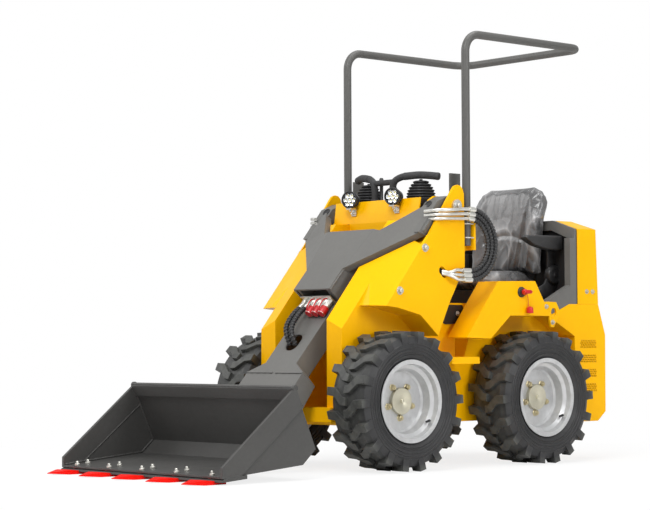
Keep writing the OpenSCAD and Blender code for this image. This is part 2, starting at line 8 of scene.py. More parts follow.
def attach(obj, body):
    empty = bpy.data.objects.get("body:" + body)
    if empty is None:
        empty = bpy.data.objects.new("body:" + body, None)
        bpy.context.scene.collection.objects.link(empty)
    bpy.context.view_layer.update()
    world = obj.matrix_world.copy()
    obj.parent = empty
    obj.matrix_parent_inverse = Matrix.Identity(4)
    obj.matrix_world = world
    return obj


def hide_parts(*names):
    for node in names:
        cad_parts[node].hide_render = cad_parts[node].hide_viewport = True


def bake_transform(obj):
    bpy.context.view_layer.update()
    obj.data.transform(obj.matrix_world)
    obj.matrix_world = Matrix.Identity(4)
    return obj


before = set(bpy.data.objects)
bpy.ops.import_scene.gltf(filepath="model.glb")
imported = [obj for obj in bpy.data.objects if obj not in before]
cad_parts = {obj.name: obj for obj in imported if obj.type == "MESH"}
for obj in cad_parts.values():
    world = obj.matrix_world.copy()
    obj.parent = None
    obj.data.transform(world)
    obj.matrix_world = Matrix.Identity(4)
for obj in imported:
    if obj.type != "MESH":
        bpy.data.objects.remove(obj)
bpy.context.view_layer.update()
scene = bpy.context.scene
scene.view_settings.view_transform = "Standard"

# The middle between the axles lies this far behind the frame's origin.
AXLE_SHIFT = 0.3175
SIDES = (("left", 1), ("right", -1))

# The studio: a pale floor under a white surround, seen from the front left corner a little above
# the hubs, with a long lens. Large soft lamps stand in for the photographer's softboxes.
SENSOR_WIDTH, FOCAL_PIXELS, PICTURE_PIXELS = 36, 2019.9, 650
CAMERA_SPOT = (6.513, -6.196 + AXLE_SHIFT, 0.537)
lens_bearing, lens_dip, lens_roll = (math.radians(a) for a in (48.63, -2.476, -0.247))
back = Vector((math.sin(lens_bearing) * math.cos(lens_dip),
               -math.cos(lens_bearing) * math.cos(lens_dip), math.sin(lens_dip)))
right = Vector((math.cos(lens_bearing), math.sin(lens_bearing), 0))
up = back.cross(right)
tilted_right = right * math.cos(lens_roll) + up * math.sin(lens_roll)
tilted_up = up * math.cos(lens_roll) - right * math.sin(lens_roll)
bpy.ops.object.camera_add(location=(0, 0, 0))
camera = bpy.context.object
camera.name = "camera"
camera.data.sensor_width = SENSOR_WIDTH
camera.data.lens = SENSOR_WIDTH * FOCAL_PIXELS / PICTURE_PIXELS
camera.matrix_world = Matrix(((tilted_right.x, tilted_up.x, back.x, CAMERA_SPOT[0]),
                              (tilted_right.y, tilted_up.y, back.y, CAMERA_SPOT[1]),
                              (tilted_right.z, tilted_up.z, back.z, CAMERA_SPOT[2]), (0, 0, 0, 1)))
scene.camera = camera


class Wire:
    """A shader socket that takes part in Python arithmetic."""

    def __init__(self, tree, socket):
        self.tree = tree
        self.socket = socket

    def maths(self, operation, first, second=None):
        values = {0: first} if second is None else {0: first, 1: second}
        return self.node("ShaderNodeMath", {"operation": operation}, values)

    def __add__(self, other):
        return self.maths("ADD", self, other)

    def __radd__(self, other):
        return self.maths("ADD", other, self)

    def __sub__(self, other):
        return self.maths("SUBTRACT", self, other)

    def __rsub__(self, other):
        return self.maths("SUBTRACT", other, self)

    def __mul__(self, other):
        return self.maths("MULTIPLY", self, other)

    def __rmul__(self, other):
        return self.maths("MULTIPLY", other, self)

    def node(self, kind, settings=None, values=None, out=0):
        made = self.tree.nodes.new(kind)
        for name, value in (settings or {}).items():
            setattr(made, name, value)
        for name, value in (values or {}).items():
            if isinstance(value, Wire):
                self.tree.links.new(value.socket, made.inputs[name])
            else:
                made.inputs[name].default_value = value
        return Wire(self.tree, made.outputs[out])

    def mix(self, low, high):
        """Blend two colours by this value."""
        low, high = (c if isinstance(c, Wire) else (*c, 1) for c in (low, high))
        made = {"data_type": "RGBA", "clamp_factor": True}
        return self.node("ShaderNodeMix", made, {0: self, 6: low, 7: high}, out=2)

    def noise(self, scale, detail=3, rough=0.55):
        values = {"Vector": self, "Scale": scale, "Detail": detail, "Roughness": rough}
        return self.node("ShaderNodeTexNoise", {"noise_dimensions": "3D"}, values)

    def between(self, low, high):
        """Stretch the stretch from low to high over 0 to 1."""
        made = {"clamp": True}
        return self.node("ShaderNodeMapRange", made, {0: self, 1: low, 2: high, 3: 0.0, 4: 1.0})

    def axis(self, which):
        return self.node("ShaderNodeSeparateXYZ", None, {0: self}, out="XYZ".index(which))

    def absolute(self):
        return self.maths("ABSOLUTE", self)


def finish(name):
    """A new material: its shader node and a wire with the object's own coordinates."""
    material = bpy.data.materials.new(name)
    material.use_nodes = True
    tree = material.node_tree
    shader = tree.nodes["Principled BSDF"]
    place = Wire(tree, tree.nodes.new("ShaderNodeTexCoord").outputs["Object"])
    return material, shader, place


def feed(shader, **sockets):
    for name, value in sockets.items():
        socket = shader.inputs[name.replace("_", " ")]
        if isinstance(value, Wire):
            value.tree.links.new(value.socket, socket)
        else:
            socket.default_value = value


def surface(shader, height, strength, distance, edge=0.0):
    """Send a height to the shader's normal, with an optional soft edge radius."""
    values = {"Height": height, "Strength": strength, "Distance": distance}
    if edge:
        values["Normal"] = height.node("ShaderNodeBevel", {"samples": 6}, {"Radius": edge})
    feed(shader, Normal=height.node("ShaderNodeBump", None, values))


bpy.ops.object.select_all(action="DESELECT")
bpy.ops.mesh.primitive_plane_add(size=60, location=(0, 0, 0))
floor = bpy.context.object
floor.name = "floor"
floor_paint, floor_shader, floor_place = finish("pale_floor")
feed(floor_shader, Base_Color=(0.9, 0.9, 0.9, 1), Roughness=0.9)
floor_shader.inputs["Specular IOR Level"].default_value = 0.1
glow = floor_place.node("ShaderNodeEmission", None, {"Color": (1, 1, 1, 1), "Strength": 1.0})
seen = floor_place.node("ShaderNodeLightPath", None, None, out=0)
away = floor_place.node("ShaderNodeVectorMath", {"operation": "LENGTH"}, {0: floor_place}, out=1)
clear = away.between(1.3, 2.6) * 0.18 + 0.82
matt = Wire(floor_place.tree, floor_shader.outputs[0])
blend = floor_place.node("ShaderNodeMixShader", None, {0: seen * clear, 1: matt, 2: glow})
floor_paint.node_tree.links.new(blend.socket, floor_paint.node_tree.nodes["Material Output"].inputs[0])
floor.data.materials.append(floor_paint)

world = bpy.data.worlds.new("studio")
scene.world = world
world.use_nodes = True
sky = world.node_tree
sky_wire = Wire(sky, sky.nodes.new("ShaderNodeLightPath").outputs[0])
path = sky_wire.socket.node
shown = sky_wire + Wire(sky, path.outputs["Is Glossy Ray"]) * 0.35
shown = shown + Wire(sky, path.outputs["Is Transmission Ray"])
feed(sky.nodes["Background"], Color=(1, 1, 1, 1), Strength=shown.between(0.0, 1.0) * 0.62 + 0.38)

for lamp_name, place, aim, size, power in (
        ("key_box", (2.6, -4.6, 5.4), (0, 0, 0.7), 3.0, 300),
        ("side_box", (6.5, 1.0, 3.4), (0, 0.2, 0.7), 2.6, 150),
        ("far_box", (-4.5, -3.5, 4.0), (0, -0.4, 0.6), 3.0, 90),
        ("top_box", (0.3, 0.6, 6.0), (0, 0, 0.5), 4.0, 170)):
    bpy.ops.object.light_add(type="AREA", location=place)
    lamp = bpy.context.object
    lamp.name = lamp_name
    lamp.data.size = size
    lamp.data.energy = power
    lamp.rotation_euler = (Vector(place) - Vector(aim)).to_track_quat("Z", "Y").to_euler()


# Boom hoses: rubber pressure hoses in a spiral guard, three on each side, that loop from the
# slot in the tower to steel tubes on the boom arm. Each end is crimped into a plated sleeve.
HOSE_RADIUS, STEEL_RADIUS = 0.009, 0.0075
LOOP = (AXLE_SHIFT - 0.006, 0.953)
INNER_LOOP, LOOP_STEP = 0.112, 0.020


def stretch(points, step):
    """Points at an even step along a line of points."""
    points = [Vector(p) for p in points]
    walked = [0.0]
    for a, b in zip(points, points[1:]):
        walked.append(walked[-1] + (b - a).length)
    count = max(2, round(walked[-1] / step))
    even = []
    leg = 0
    for k in range(count + 1):
        along = walked[-1] * k / count
        while leg < len(points) - 2 and walked[leg + 1] < along:
            leg += 1
        share = (along - walked[leg]) / max(1e-9, walked[leg + 1] - walked[leg])
        even.append(points[leg].lerp(points[leg + 1], share))
    return even


def span(points):
    """The length of a line of points."""
    return sum((b - a).length for a, b in zip(points, points[1:]))


def curved(points, step):
    """A smooth line through a few points, as even short steps."""
    points = [Vector(p) for p in points]
    ends = [points[0] * 2 - points[1]] + points + [points[-1] * 2 - points[-2]]
    dense = []
    for a, b, c, d in zip(ends, ends[1:], ends[2:], ends[3:]):
        for k in range(12):
            t = k / 12
            dense.append(0.5 * (2 * b + (c - a) * t + (2 * a - 5 * b + 4 * c - d) * t * t
                                + (3 * b - a - 3 * c + d) * t ** 3))
    return stretch(dense + [points[-1]], step)


def tube(name, points, radius, rounds=4):
    """A round bar along a line of points, drawn as a curve and made a mesh."""
    bpy.ops.object.select_all(action="DESELECT")
    bpy.ops.curve.primitive_nurbs_path_add()
    line = bpy.context.object
    line.name = name
    line.data.splines.clear()
    spline = line.data.splines.new("POLY")
    spline.points.add(len(points) - 1)
    for knot, spot in zip(spline.points, points):
        knot.co = (*spot, 1)
    line.data.bevel_depth = radius
    line.data.bevel_resolution = rounds
    line.data.use_fill_caps = True
    bpy.ops.object.convert(target="MESH")
    piece = bpy.context.object
    bpy.ops.object.shade_smooth_by_angle(angle=math.radians(50))
    return piece


def wound(points, radius, pitch, turn_steps=9):
    """A helix round a line of points."""
    spots = stretch(points, pitch / turn_steps)
    coil = []
    side = Vector((1, 0.01, 0.02))
    for k, spot in enumerate(spots):
        ahead = (spots[min(k + 1, len(spots) - 1)] - spots[max(k - 1, 0)]).normalized()
        side = (side - ahead * side.dot(ahead)).normalized()
        angle = math.tau * k / turn_steps
        coil.append(spot + (side * math.cos(angle) + ahead.cross(side) * math.sin(angle)) * radius)
    return coil


def joined(name, pieces):
    """Several meshes made one."""
    bpy.ops.object.select_all(action="DESELECT")
    for piece in pieces:
        piece.select_set(True)
    bpy.context.view_layer.objects.active = pieces[0]
    if len(pieces) > 1:
        bpy.ops.object.join()
    whole = bpy.context.view_layer.objects.active
    whole.name = name
    return whole


def wear(piece, material, body=None):
    """A finish in the piece's material slot, and the body that a piece rides on."""
    piece.data.materials.clear()
    piece.data.materials.append(material)
    if body:
        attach(piece, body)


def moulded(name, colour, rough, grain, depth, edge=0.0015):
    """Rubber or plastic from a mould: a fine grain and a slightly uneven tone."""
    material, shader, place = finish(name)
    tone = place.noise(14, 4).between(0.3, 0.7)
    feed(shader, Base_Color=tone.mix([c * 0.72 for c in colour], colour))
    feed(shader, Roughness=place.noise(45, 4).between(0.25, 0.75) * 0.2 + (rough - 0.1))
    surface(shader, place.noise(grain, 3), 0.3, depth, edge)
    return material


def plated(name, colour, rough, metal=0.92):
    """Zinc or chrome: a metal skin with cloudy tone and faint handling marks."""
    material, shader, place = finish(name)
    tone = (place.noise(38, 5) * 0.6 + place.noise(7, 3) * 0.4).between(0.32, 0.68)
    feed(shader, Base_Color=tone.mix([c * 0.78 for c in colour], colour))
    feed(shader, Metallic=metal)
    feed(shader, Roughness=place.noise(60, 4).between(0.2, 0.8) * 0.16 + rough)
    surface(shader, place.noise(260, 2), 0.05, 0.0004, 0.0008)
    return material


hose_cover = moulded("hose_rubber_cover", (0.020, 0.020, 0.021), 0.5, 260, 0.0006)
guard_plastic = moulded("spiral_guard_plastic", (0.034, 0.034, 0.035), 0.30, 300, 0.0004)
bright_zinc = plated("bright_zinc", (0.80, 0.79, 0.74), 0.24)
for side, mirror in SIDES:
    hoses, upper_steel, lower_steel = [], [], []
    for i in range(3):
        radius = INNER_LOOP + LOOP_STEP * i
        x = mirror * (0.424 + 0.004 * i)
        ring = [(x, LOOP[0] + radius * math.sin(math.radians(a)),
                 LOOP[1] - radius * math.cos(math.radians(a))) for a in range(0, 181, 6)]
        low = (x, AXLE_SHIFT - 0.052, LOOP[1] - radius)
        high = (x, AXLE_SHIFT - 0.016, LOOP[1] + radius)
        route = stretch([low] + ring + [high], 0.012)
        hose = tube(f"boom_hose_{side}_{i}", route, HOSE_RADIUS, 5)
        wear(hose, hose_cover)
        guard_line = wound(route[4:-3], HOSE_RADIUS + 0.0002, 0.0150)
        guard = tube(f"hose_guard_{side}_{i}", guard_line, 0.0034, 2)
        wear(guard, guard_plastic)
        sleeves = []
        for end, spots in (("low", route[:5]), ("high", route[-4:])):
            sleeve = tube(f"hose_sleeve_{side}_{i}_{end}", stretch(spots, 0.004), HOSE_RADIUS + 0.0022, 4)
            wear(sleeve, bright_zinc, "chassis" if end == "low" else "boom")
            sleeves.append(sleeve)
        bottom = LOOP[1] - radius
        top = LOOP[1] + radius
        for piece in (hose, guard):
            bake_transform(piece)
        hoses.append(hose)
        span(route)
        [guard] + sleeves
        # the steel tubes at both ends
        y = AXLE_SHIFT
        level = 0.018 * i
        upper = [high, (x, y - 0.06, top - 0.001), (x, y - 0.13, 1.062 + level),
                 (mirror * 0.410, y - 0.178, 1.060 + level), (mirror * 0.352, y - 0.205, 1.056 + level)]
        upper_steel.append(tube("upper", curved(upper, 0.008), STEEL_RADIUS))
        drop = 0.006 * (1 - i)
        lower = [low, (x, y - 0.085, bottom + 0.002), (mirror * 0.418, y - 0.122, 0.826 + drop),
                 (mirror * 0.394, y - 0.143, 0.832 + drop)]
        lower_steel.append(tube("lower", curved(lower, 0.008), STEEL_RADIUS))
    tubes = joined(f"boom_tubes_{side}", upper_steel)
    wear(tubes, bright_zinc, "boom")
    elbows = joined(f"slot_elbows_{side}", lower_steel)
    wear(elbows, bright_zinc, "chassis")
    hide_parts("boom_hoses")

# Neck hoses: two sleeved hoses from the plated stubs under the hood plate that dip into the
# slot of the boom neck, where they feed the tilt cylinder.
BOOM_PIVOT = Vector((0, AXLE_SHIFT - 0.063, 1.120))
BOOM_SLOPE = math.radians(48.4)
NECK_HOSE_RADIUS = 0.0092


def on_boom(x, along, square):
    """A point of the boom's own plane, given in millimetres."""
    turn = Matrix.Rotation(BOOM_SLOPE, 3, "X")
    return BOOM_PIVOT + turn @ Vector((x, along, square)) / 1000


for i, x in enumerate((-70, -36)):
    route = curved([on_boom(x, -600, 66), on_boom(x, -632, 67), on_boom(x + 4, -690, 82),
                    on_boom(x + 16, -762, 84), on_boom(x + 36, -804, 66), on_boom(x + 46, -826, 34)],
                   0.010)
    hose = tube(f"neck_hose_{i}", route, NECK_HOSE_RADIUS, 5)
    wear(hose, hose_cover, "boom")
    guard = tube(f"neck_guard_{i}", wound(route[5:], 0.0094, 0.0150), 0.0034, 2)
    wear(guard, guard_plastic, "boom")
    sleeve = tube(f"neck_sleeve_{i}", route[:6], 0.0118, 4)
    wear(sleeve, bright_zinc, "boom")
    span(route)
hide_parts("neck_hoses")


# Chassis, towers and rear body: welded and folded sheet steel, powder coated in a warm yellow with
# a fine orange-peel skin. The coat rounds every edge.
def paint(name, light, dark, rough, edge=0.003, coat=0.05, gloss=0.3):
    """A sprayed coat: cloudy tone, orange peel, and a rounded edge."""
    material, shader, place = finish(name)
    cloud = place.noise(3.5, 4) * 0.65 + place.noise(60, 3) * 0.35
    feed(shader, Base_Color=cloud.between(0.3, 0.7).mix(dark, light))
    feed(shader, Roughness=place.noise(9, 5).between(0.3, 0.75) * 0.14 + (rough - 0.05))
    feed(shader, Coat_Weight=coat, Coat_Roughness=0.15)
    shader.inputs["Specular IOR Level"].default_value = gloss
    surface(shader, place.noise(420, 2), 0.10, 0.0008, edge)
    return material


def dress(material, *nodes):
    """Give CAD nodes a finish in place of the plain one they come with."""
    for node in nodes:
        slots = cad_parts[node].data.materials
        slots.clear()
        slots.append(material)


def at(x, y, z):
    """A point measured from the middle between the axles."""
    return Vector((x, y + AXLE_SHIFT, z))


def start(kind, name, **how):
    """A new primitive, alone in the selection."""
    bpy.ops.object.select_all(action="DESELECT")
    getattr(bpy.ops.mesh, f"primitive_{kind}_add")(**how)
    piece = bpy.context.object
    piece.name = name
    return piece


def alone(piece):
    bpy.ops.object.select_all(action="DESELECT")
    piece.select_set(True)
    bpy.context.view_layer.objects.active = piece


def modify(piece, kind, **settings):
    """Add a modifier and apply it."""
    alone(piece)
    change = piece.modifiers.new("shape", kind)
    for name, value in settings.items():
        setattr(change, name, value)
    bpy.ops.object.modifier_apply(modifier=change.name)


def soften(piece, width, segments=2, angle=35):
    """Round the sharp edges and shade the rest smooth."""
    modify(piece, "BEVEL", width=width, segments=segments, limit_method="ANGLE",
           angle_limit=math.radians(angle))
    bpy.ops.object.shade_smooth_by_angle(angle=math.radians(40))
    return piece


def open_mesh():
    """Go into edit mode with everything selected."""
    bpy.ops.object.mode_set(mode="EDIT")
    bpy.ops.mesh.select_all(action="SELECT")


def close_mesh():
    """Turn every face outwards and leave edit mode."""
    bpy.ops.mesh.select_all(action="SELECT")
    bpy.ops.mesh.normals_make_consistent(inside=False)
    bpy.ops.object.mode_set(mode="OBJECT")


def turned(name, outline, steps=36):
    """A lathe shape about Z from a closed outline of radius and height."""
    piece = start("circle", name, vertices=len(outline), fill_type="NOTHING")
    for vertex, (radius, height) in zip(piece.data.vertices, outline):
        vertex.co = (radius, 0, height)
    open_mesh()
    bpy.ops.mesh.spin(steps=steps, angle=math.tau, center=(0, 0, 0), axis=(0, 0, 1))
    bpy.ops.mesh.select_all(action="SELECT")
    bpy.ops.mesh.remove_doubles(threshold=1e-6)
    bpy.ops.mesh.dissolve_degenerate()
    close_mesh()
    bpy.ops.object.shade_smooth_by_angle(angle=math.radians(40))
    return piece


def plate(name, outline, push):
    """A flat outline of points, pushed out to a plate."""
    piece = start("circle", name, vertices=len(outline), fill_type="NGON")
    for vertex, spot in zip(piece.data.vertices, outline):
        vertex.co = spot
    open_mesh()
    bpy.ops.mesh.extrude_region_move(TRANSFORM_OT_translate={"value": push})
    close_mesh()
    return piece


def placed(piece, spot, toward=(0, 0, 1)):
    """Turn a piece's Z axis to a direction, set it at a spot, and keep that in its mesh."""
    alone(piece)
    piece.location = spot
    piece.rotation_euler = Vector(toward).to_track_quat("Z", "Y").to_euler()
    bpy.ops.object.transform_apply(location=True, rotation=True, scale=True)
    return piece


def repeated(name, master, spots):
    """One piece of many like ones, each copied from the first with its own mesh."""
    made = []
    for spot, toward in spots:
        alone(master)
        bpy.ops.object.duplicate(linked=False)
        made.append(placed(bpy.context.object, spot, toward))
    bpy.data.objects.remove(master)
    return joined(name, made)


def hex_bolt(size):
    """A hexagon head on a washer, standing on z = 0."""
    head = start("cylinder", "head", vertices=6, radius=size * 0.577, depth=size * 0.62,
                 location=(0, 0, size * 0.45))
    bpy.ops.object.transform_apply(location=True)
    bpy.ops.object.mode_set(mode="EDIT")
    bpy.ops.mesh.select_all(action="DESELECT")
    bpy.ops.object.mode_set(mode="OBJECT")
    for face in head.data.polygons:
        face.select = face.normal.z > 0.9
    bpy.ops.object.mode_set(mode="EDIT")
    bpy.ops.mesh.inset(thickness=size * 0.07)
    bpy.ops.transform.translate(value=(0, 0, size * 0.05))
    bpy.ops.object.mode_set(mode="OBJECT")
    soften(head, size * 0.03, 1)
    washer = turned("washer", [(0, -0.001), (size * 0.92, -0.001), (size * 0.95, size * 0.05),
                               (size * 0.92, size * 0.16), (0, size * 0.16)], 20)
    return joined("bolt", [head, washer])


def bolts(name, size, spots, body):
    """A group of like zinc plated bolts on one body."""
    wear(repeated(name, hex_bolt(size), spots), grey_zinc, body)


yellow = paint("yellow_powder_coat", (0.97, 0.500, 0.0), (0.91, 0.450, 0.0), 0.34, 0.003, 0.02, 0.14)
dress(yellow, "hull_tub", "front_beam", "tower_left", "tower_right", "front_panel", "side_tanks",
      "lift_eyes", "rear_body", "engine_hood")
grey_zinc = plated("dull_zinc", (0.66, 0.65, 0.60), 0.34)
outward = {1: (1, 0, 0), -1: (-1, 0, 0)}
tower_spots = [(at(m * 0.4000, y, z), outward[m]) for m in (1, -1)
               for y, z in ((-0.250, 0.934), (-0.398, 0.751))]
bolts("tower_bolts", 0.019, tower_spots, "chassis")
eye_spots = [(at(m * 0.420, y, z), outward[m]) for m in (1, -1)
             for y, z in ((0.5205, 0.622), (0.4800, 0.692))]
bolts("eye_bolts", 0.012, eye_spots, "chassis")

# a black plate in hose rubber closes the back of each tower's hose slot: painted shade for the slot's
# dark inside
SHADE_PLATE_ROUND, SHADE_PLATE_FACE, SHADE_PLATE_THICK = 0.0164, 0.3802, 0.0030
half_turn = [math.radians(46 + a) for a in range(-90, 91, 18)]
slot_shade_outline = [(-0.135 + SHADE_PLATE_ROUND * math.sin(t), 0.826 - SHADE_PLATE_ROUND * math.cos(t)) for t in half_turn]
slot_shade_outline += [(-0.150 - SHADE_PLATE_ROUND * math.sin(t), 0.840 + SHADE_PLATE_ROUND * math.cos(t)) for t in half_turn]
slot_shade_plates = []
for m in (1, -1):
    slot_shade_plate = plate("slot_shade_plate", [at(m * SHADE_PLATE_FACE, y, z) for y, z in slot_shade_outline], (m * SHADE_PLATE_THICK, 0, 0))
    slot_shade_plates.append(soften(slot_shade_plate, 0.0008, 1))
wear(joined("slot_shade_plates", slot_shade_plates), hose_cover, "chassis")

# Side covers: black sheet hatches held by one bolt each on the inner wall of the step.
black = paint("satin_black_coat", (0.022, 0.022, 0.023), (0.016, 0.016, 0.017), 0.42, 0.002, 0.1)
dress(black, "side_covers")
bolts("cover_bolts", 0.012, [(at(m * 0.272, 0.070, 0.660), outward[m]) for m in (1, -1)], "chassis")

# Wheels: bar-lug tyres on pressed steel rims in silver lacquer, five bolts round a turned hub.
# The sidewall carries moulded rings, and a rubber valve stem stands in the rim's well.
AXLE_HEIGHT, HALF_WHEELBASE = 0.292, 0.412
ENDS = {"front_left": (1, -1), "front_right": (-1, -1), "rear_left": (1, 1), "rear_right": (-1, 1)}
tread, tread_shader, tread_place = finish("tyre_rubber")
from_axle = (tread_place.axis("Y") - AXLE_SHIFT).absolute() - HALF_WHEELBASE
above_axle = tread_place.axis("Z") - AXLE_HEIGHT
out_of_axle = from_axle.maths("SQRT", from_axle * from_axle + above_axle * above_axle)
# the outer lug tops are painted lighter: partly dust, partly a painted sheen for the light the lug tops
# catch
lug_top_dust_and_sheen = out_of_axle.between(0.262, 0.282) * (tread_place.noise(34, 5).between(0.30, 0.62) * 0.75 + 0.25)
rubber_tone = tread_place.noise(14, 4).between(0.3, 0.7).mix((0.017, 0.017, 0.018),
                                                             (0.025, 0.025, 0.0265))
feed(tread_shader, Base_Color=lug_top_dust_and_sheen.mix(rubber_tone, (0.066, 0.068, 0.061)))
feed(tread_shader, Roughness=tread_place.noise(45, 4).between(0.25, 0.75) * 0.2 + 0.42)
surface(tread_shader, tread_place.noise(150, 3), 0.3, 0.0012, 0.004)
silver = plated("silver_lacquer", (0.60, 0.605, 0.61), 0.27, 0.50)
warm_zinc = plated("yellow_zinc", (0.62, 0.54, 0.34), 0.30)
pale_zinc = plated("pale_zinc", (0.66, 0.63, 0.50), 0.34)
for end, (side, along) in ENDS.items():
    dress(tread, "tyre_" + end)
    dress(silver, "rim_" + end)
    body = "wheel_" + end
    hub_spot = at(side * 0.387, along * HALF_WHEELBASE, AXLE_HEIGHT)
    ridges = [(0.186, 0.094)]
    for radius, top in ((0.192, 0.1030), (0.200, 0.1042), (0.2135, 0.1062), (0.226, 0.1075),
                        (0.238, 0.1070)):
        ridges += [(radius - 0.0032, top - 0.0022), (radius - 0.0012, top + 0.0022),
                   (radius + 0.0012, top + 0.0022), (radius + 0.0032, top - 0.0020)]
    ridges += [(0.242, 0.1000), (0.215, 0.098)]
    rings = []
    for face in (1, -1):
        rings.append(placed(turned("ring", ridges, 96), hub_spot, (face, 0, 0)))
    wear(joined("sidewall_rings_" + end, rings), tread, body)
    # valve stem with its cap
    lean = math.radians(-38)
    spoke = Vector((0, math.cos(lean), math.sin(lean)))
    root = hub_spot + spoke * 0.146 + Vector((side * 0.055, 0, 0))
    stem = turned("valve_stem_" + end, [(0, -0.006), (0.0075, -0.006), (0.0062, 0.010), (0.0048, 0.014),
                                        (0.0048, 0.026), (0.0058, 0.027), (0.0058, 0.040),
                                        (0.0040, 0.042), (0, 0.042)], 20)
    placed(stem, root, Vector((side, 0, 0)) - spoke * 0.35)
    wear(stem, hose_cover, body)
    # the turned hub cover with its centre dimple, and the nuts on their studs
    hub = turned("hub_cover_" + end, [(0, 0.0215), (0.0560, 0.0215), (0.0560, 0.0375), (0.0535, 0.0400),
                                      (0.0130, 0.0402), (0.0105, 0.0385), (0.0085, 0.0385),
                                      (0.0075, 0.0428), (0.0050, 0.0440), (0, 0.0440)], 64)
    placed(hub, hub_spot, (side, 0, 0))
    wear(hub, pale_zinc, body)
    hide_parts("hub_" + end)
    nut = turned("nut", [(0, 0.0210), (0.0158, 0.0210), (0.0158, 0.0235), (0.0125, 0.0250),
                         (0.0125, 0.0345), (0.0110, 0.0365), (0.0072, 0.0365), (0.0070, 0.0410),
                         (0.0056, 0.0422), (0, 0.0422)], 6)
    bpy.ops.object.shade_flat()
    ring_of = [hub_spot + Vector((0, 0.070 * math.cos(t), 0.070 * math.sin(t)))
               for t in (math.radians(-90 * side + 72 * k) for k in range(5))]
    wear(repeated("wheel_nuts_" + end, nut, [(spot, (side, 0, 0)) for spot in ring_of]), warm_zinc,
         body)
dress(black, "wheel_motors")

# Lift and tilt cylinders: black lacquered barrels with a gland nut, and hard chromed rods.
chrome = plated("hard_chrome", (0.86, 0.86, 0.87), 0.05)
dress(chrome, "lift_rod", "tilt_rod")
dress(black, "lift_barrel", "tilt_barrel")
lift_foot = at(0, -0.250, 0.280)
lift_top = on_boom(0, -299, 18)
tilt_foot = on_boom(0, -659, -12)
tilt_top = on_boom(0, -1149, -5)
for name, foot, top, reach, radius, bore in (("lift", lift_foot, lift_top, 0.540, 0.035, 0.0195),
                                             ("tilt", tilt_foot, tilt_top, 0.400, 0.026, 0.0145)):
    line = (top - foot).normalized()
    gland = turned(name + "_gland", [(bore, -0.026), (radius + 0.002, -0.026), (radius + 0.003, -0.024),
                                     (radius + 0.003, -0.008), (radius, -0.006), (radius - 0.004, 0.004),
                                     (bore + 0.003, 0.004), (bore, 0.001)], 40)
    placed(gland, foot + line * reach, line)
    wear(gland, black, name + "_barrel")
    port = turned(name + "_port", [(0, -0.01), (0.013, -0.01), (0.013, 0.010), (0.010, 0.013),
                                   (0.010, 0.024), (0, 0.024)], 16)
    placed(port, foot + line * (reach - 0.06) + Vector((radius - 0.003, 0, 0)), (1, 0, 0))
    wear(port, bright_zinc, name + "_barrel")

# Boom: heavy plate welded to a fork with a boxed neck, in a satin slate grey. Weld beads run along
# the seams, and the pivot pins are held by bolted caps.
grey = paint("slate_grey_coat", (0.150, 0.148, 0.140), (0.128, 0.126, 0.120), 0.40, 0.003, 0.06)
dress(grey, "boom_arms", "boom_neck", "boom_nose")
dress(grey_zinc, "boom_pins")


def weld(name, points, radius, material, body):
    """A bead with the ripple that a torch leaves."""
    spots = stretch(points, 0.006)
    bead = tube(name, spots, radius, 2)
    for vertex in bead.data.vertices:
        along = (vertex.co - spots[0]).length
        swell = 1 + 0.22 * math.sin(along * 900)
        near = min(spots, key=lambda spot: (spot - vertex.co).length_squared)
        vertex.co = near + (vertex.co - near) * swell
    wear(bead, material, body)


for tag, m in SIDES:
    weld(f"hood_plate_weld_{tag}", [on_boom(m * 151, -240, 113), on_boom(m * 116, -468, 113),
                                    on_boom(m * 116, -582, 113)], 0.0036, grey, "boom")
    weld(f"neck_rib_weld_{tag}", [on_boom(m * 99, -578, 41), on_boom(m * 99, -425, 41)], 0.0036, grey,
         "boom")
    weld(f"neck_flare_weld_{tag}", [on_boom(m * 178, -985, 41), on_boom(m * 10, -985, 41)], 0.0034, grey,
         "boom")
# corner pieces give the neck's hose slot its round ends
SLOT_MIDDLE, SLOT_HALF, SLOT_ROUND, SLOT_LAP = (-4, -815), (38, 45), 36, 1
quarter = [math.radians(a) for a in range(0, 91, 10)]
slot_corners = []
for m in (1, -1):
    for n in (1, -1):
        across, along = (half - SLOT_ROUND for half in SLOT_HALF)
        line = [(m * (across + SLOT_ROUND * math.cos(t)), n * (along + SLOT_ROUND * math.sin(t)))
                for t in quarter]
        line.append((m * (SLOT_HALF[0] + SLOT_LAP), n * (SLOT_HALF[1] + SLOT_LAP)))
        spots = [on_boom(SLOT_MIDDLE[0] + x, SLOT_MIDDLE[1] + y, 39.8) for x, y in line]
        slot_corners.append(plate("corner", spots, on_boom(0, 0, -8) - on_boom(0, 0, 0)))
wear(joined("neck_slot_corners", slot_corners), grey, "boom")
# black rubber plugs on the arm ends stand in for the open holes there: their darkness is painted shade
arm_hole_plug = turned("arm_hole_plug", [(0, -0.002), (0.0185, -0.002), (0.0195, 0.0005), (0.0185, 0.0030),
                             (0.0150, 0.0036), (0.0135, 0.0006), (0, 0.0002)], 40)
arm_hole_plugs = repeated("arm_hole_shade_plugs", arm_hole_plug, [(at(m * 0.329, -0.160, 1.1252), (0, -0.770, 0.638))
                                              for m in (1, -1)])
wear(arm_hole_plugs, hose_cover, "boom")
bolts("pin_bolts", 0.019, [(at(m * 0.4098, -0.063, 1.120), outward[m]) for m in (1, -1)], "chassis")
bolts("nose_pin_bolts", 0.016, [(on_boom(m * 185.5, -1215, -100), outward[m]) for m in (1, -1)], "boom")

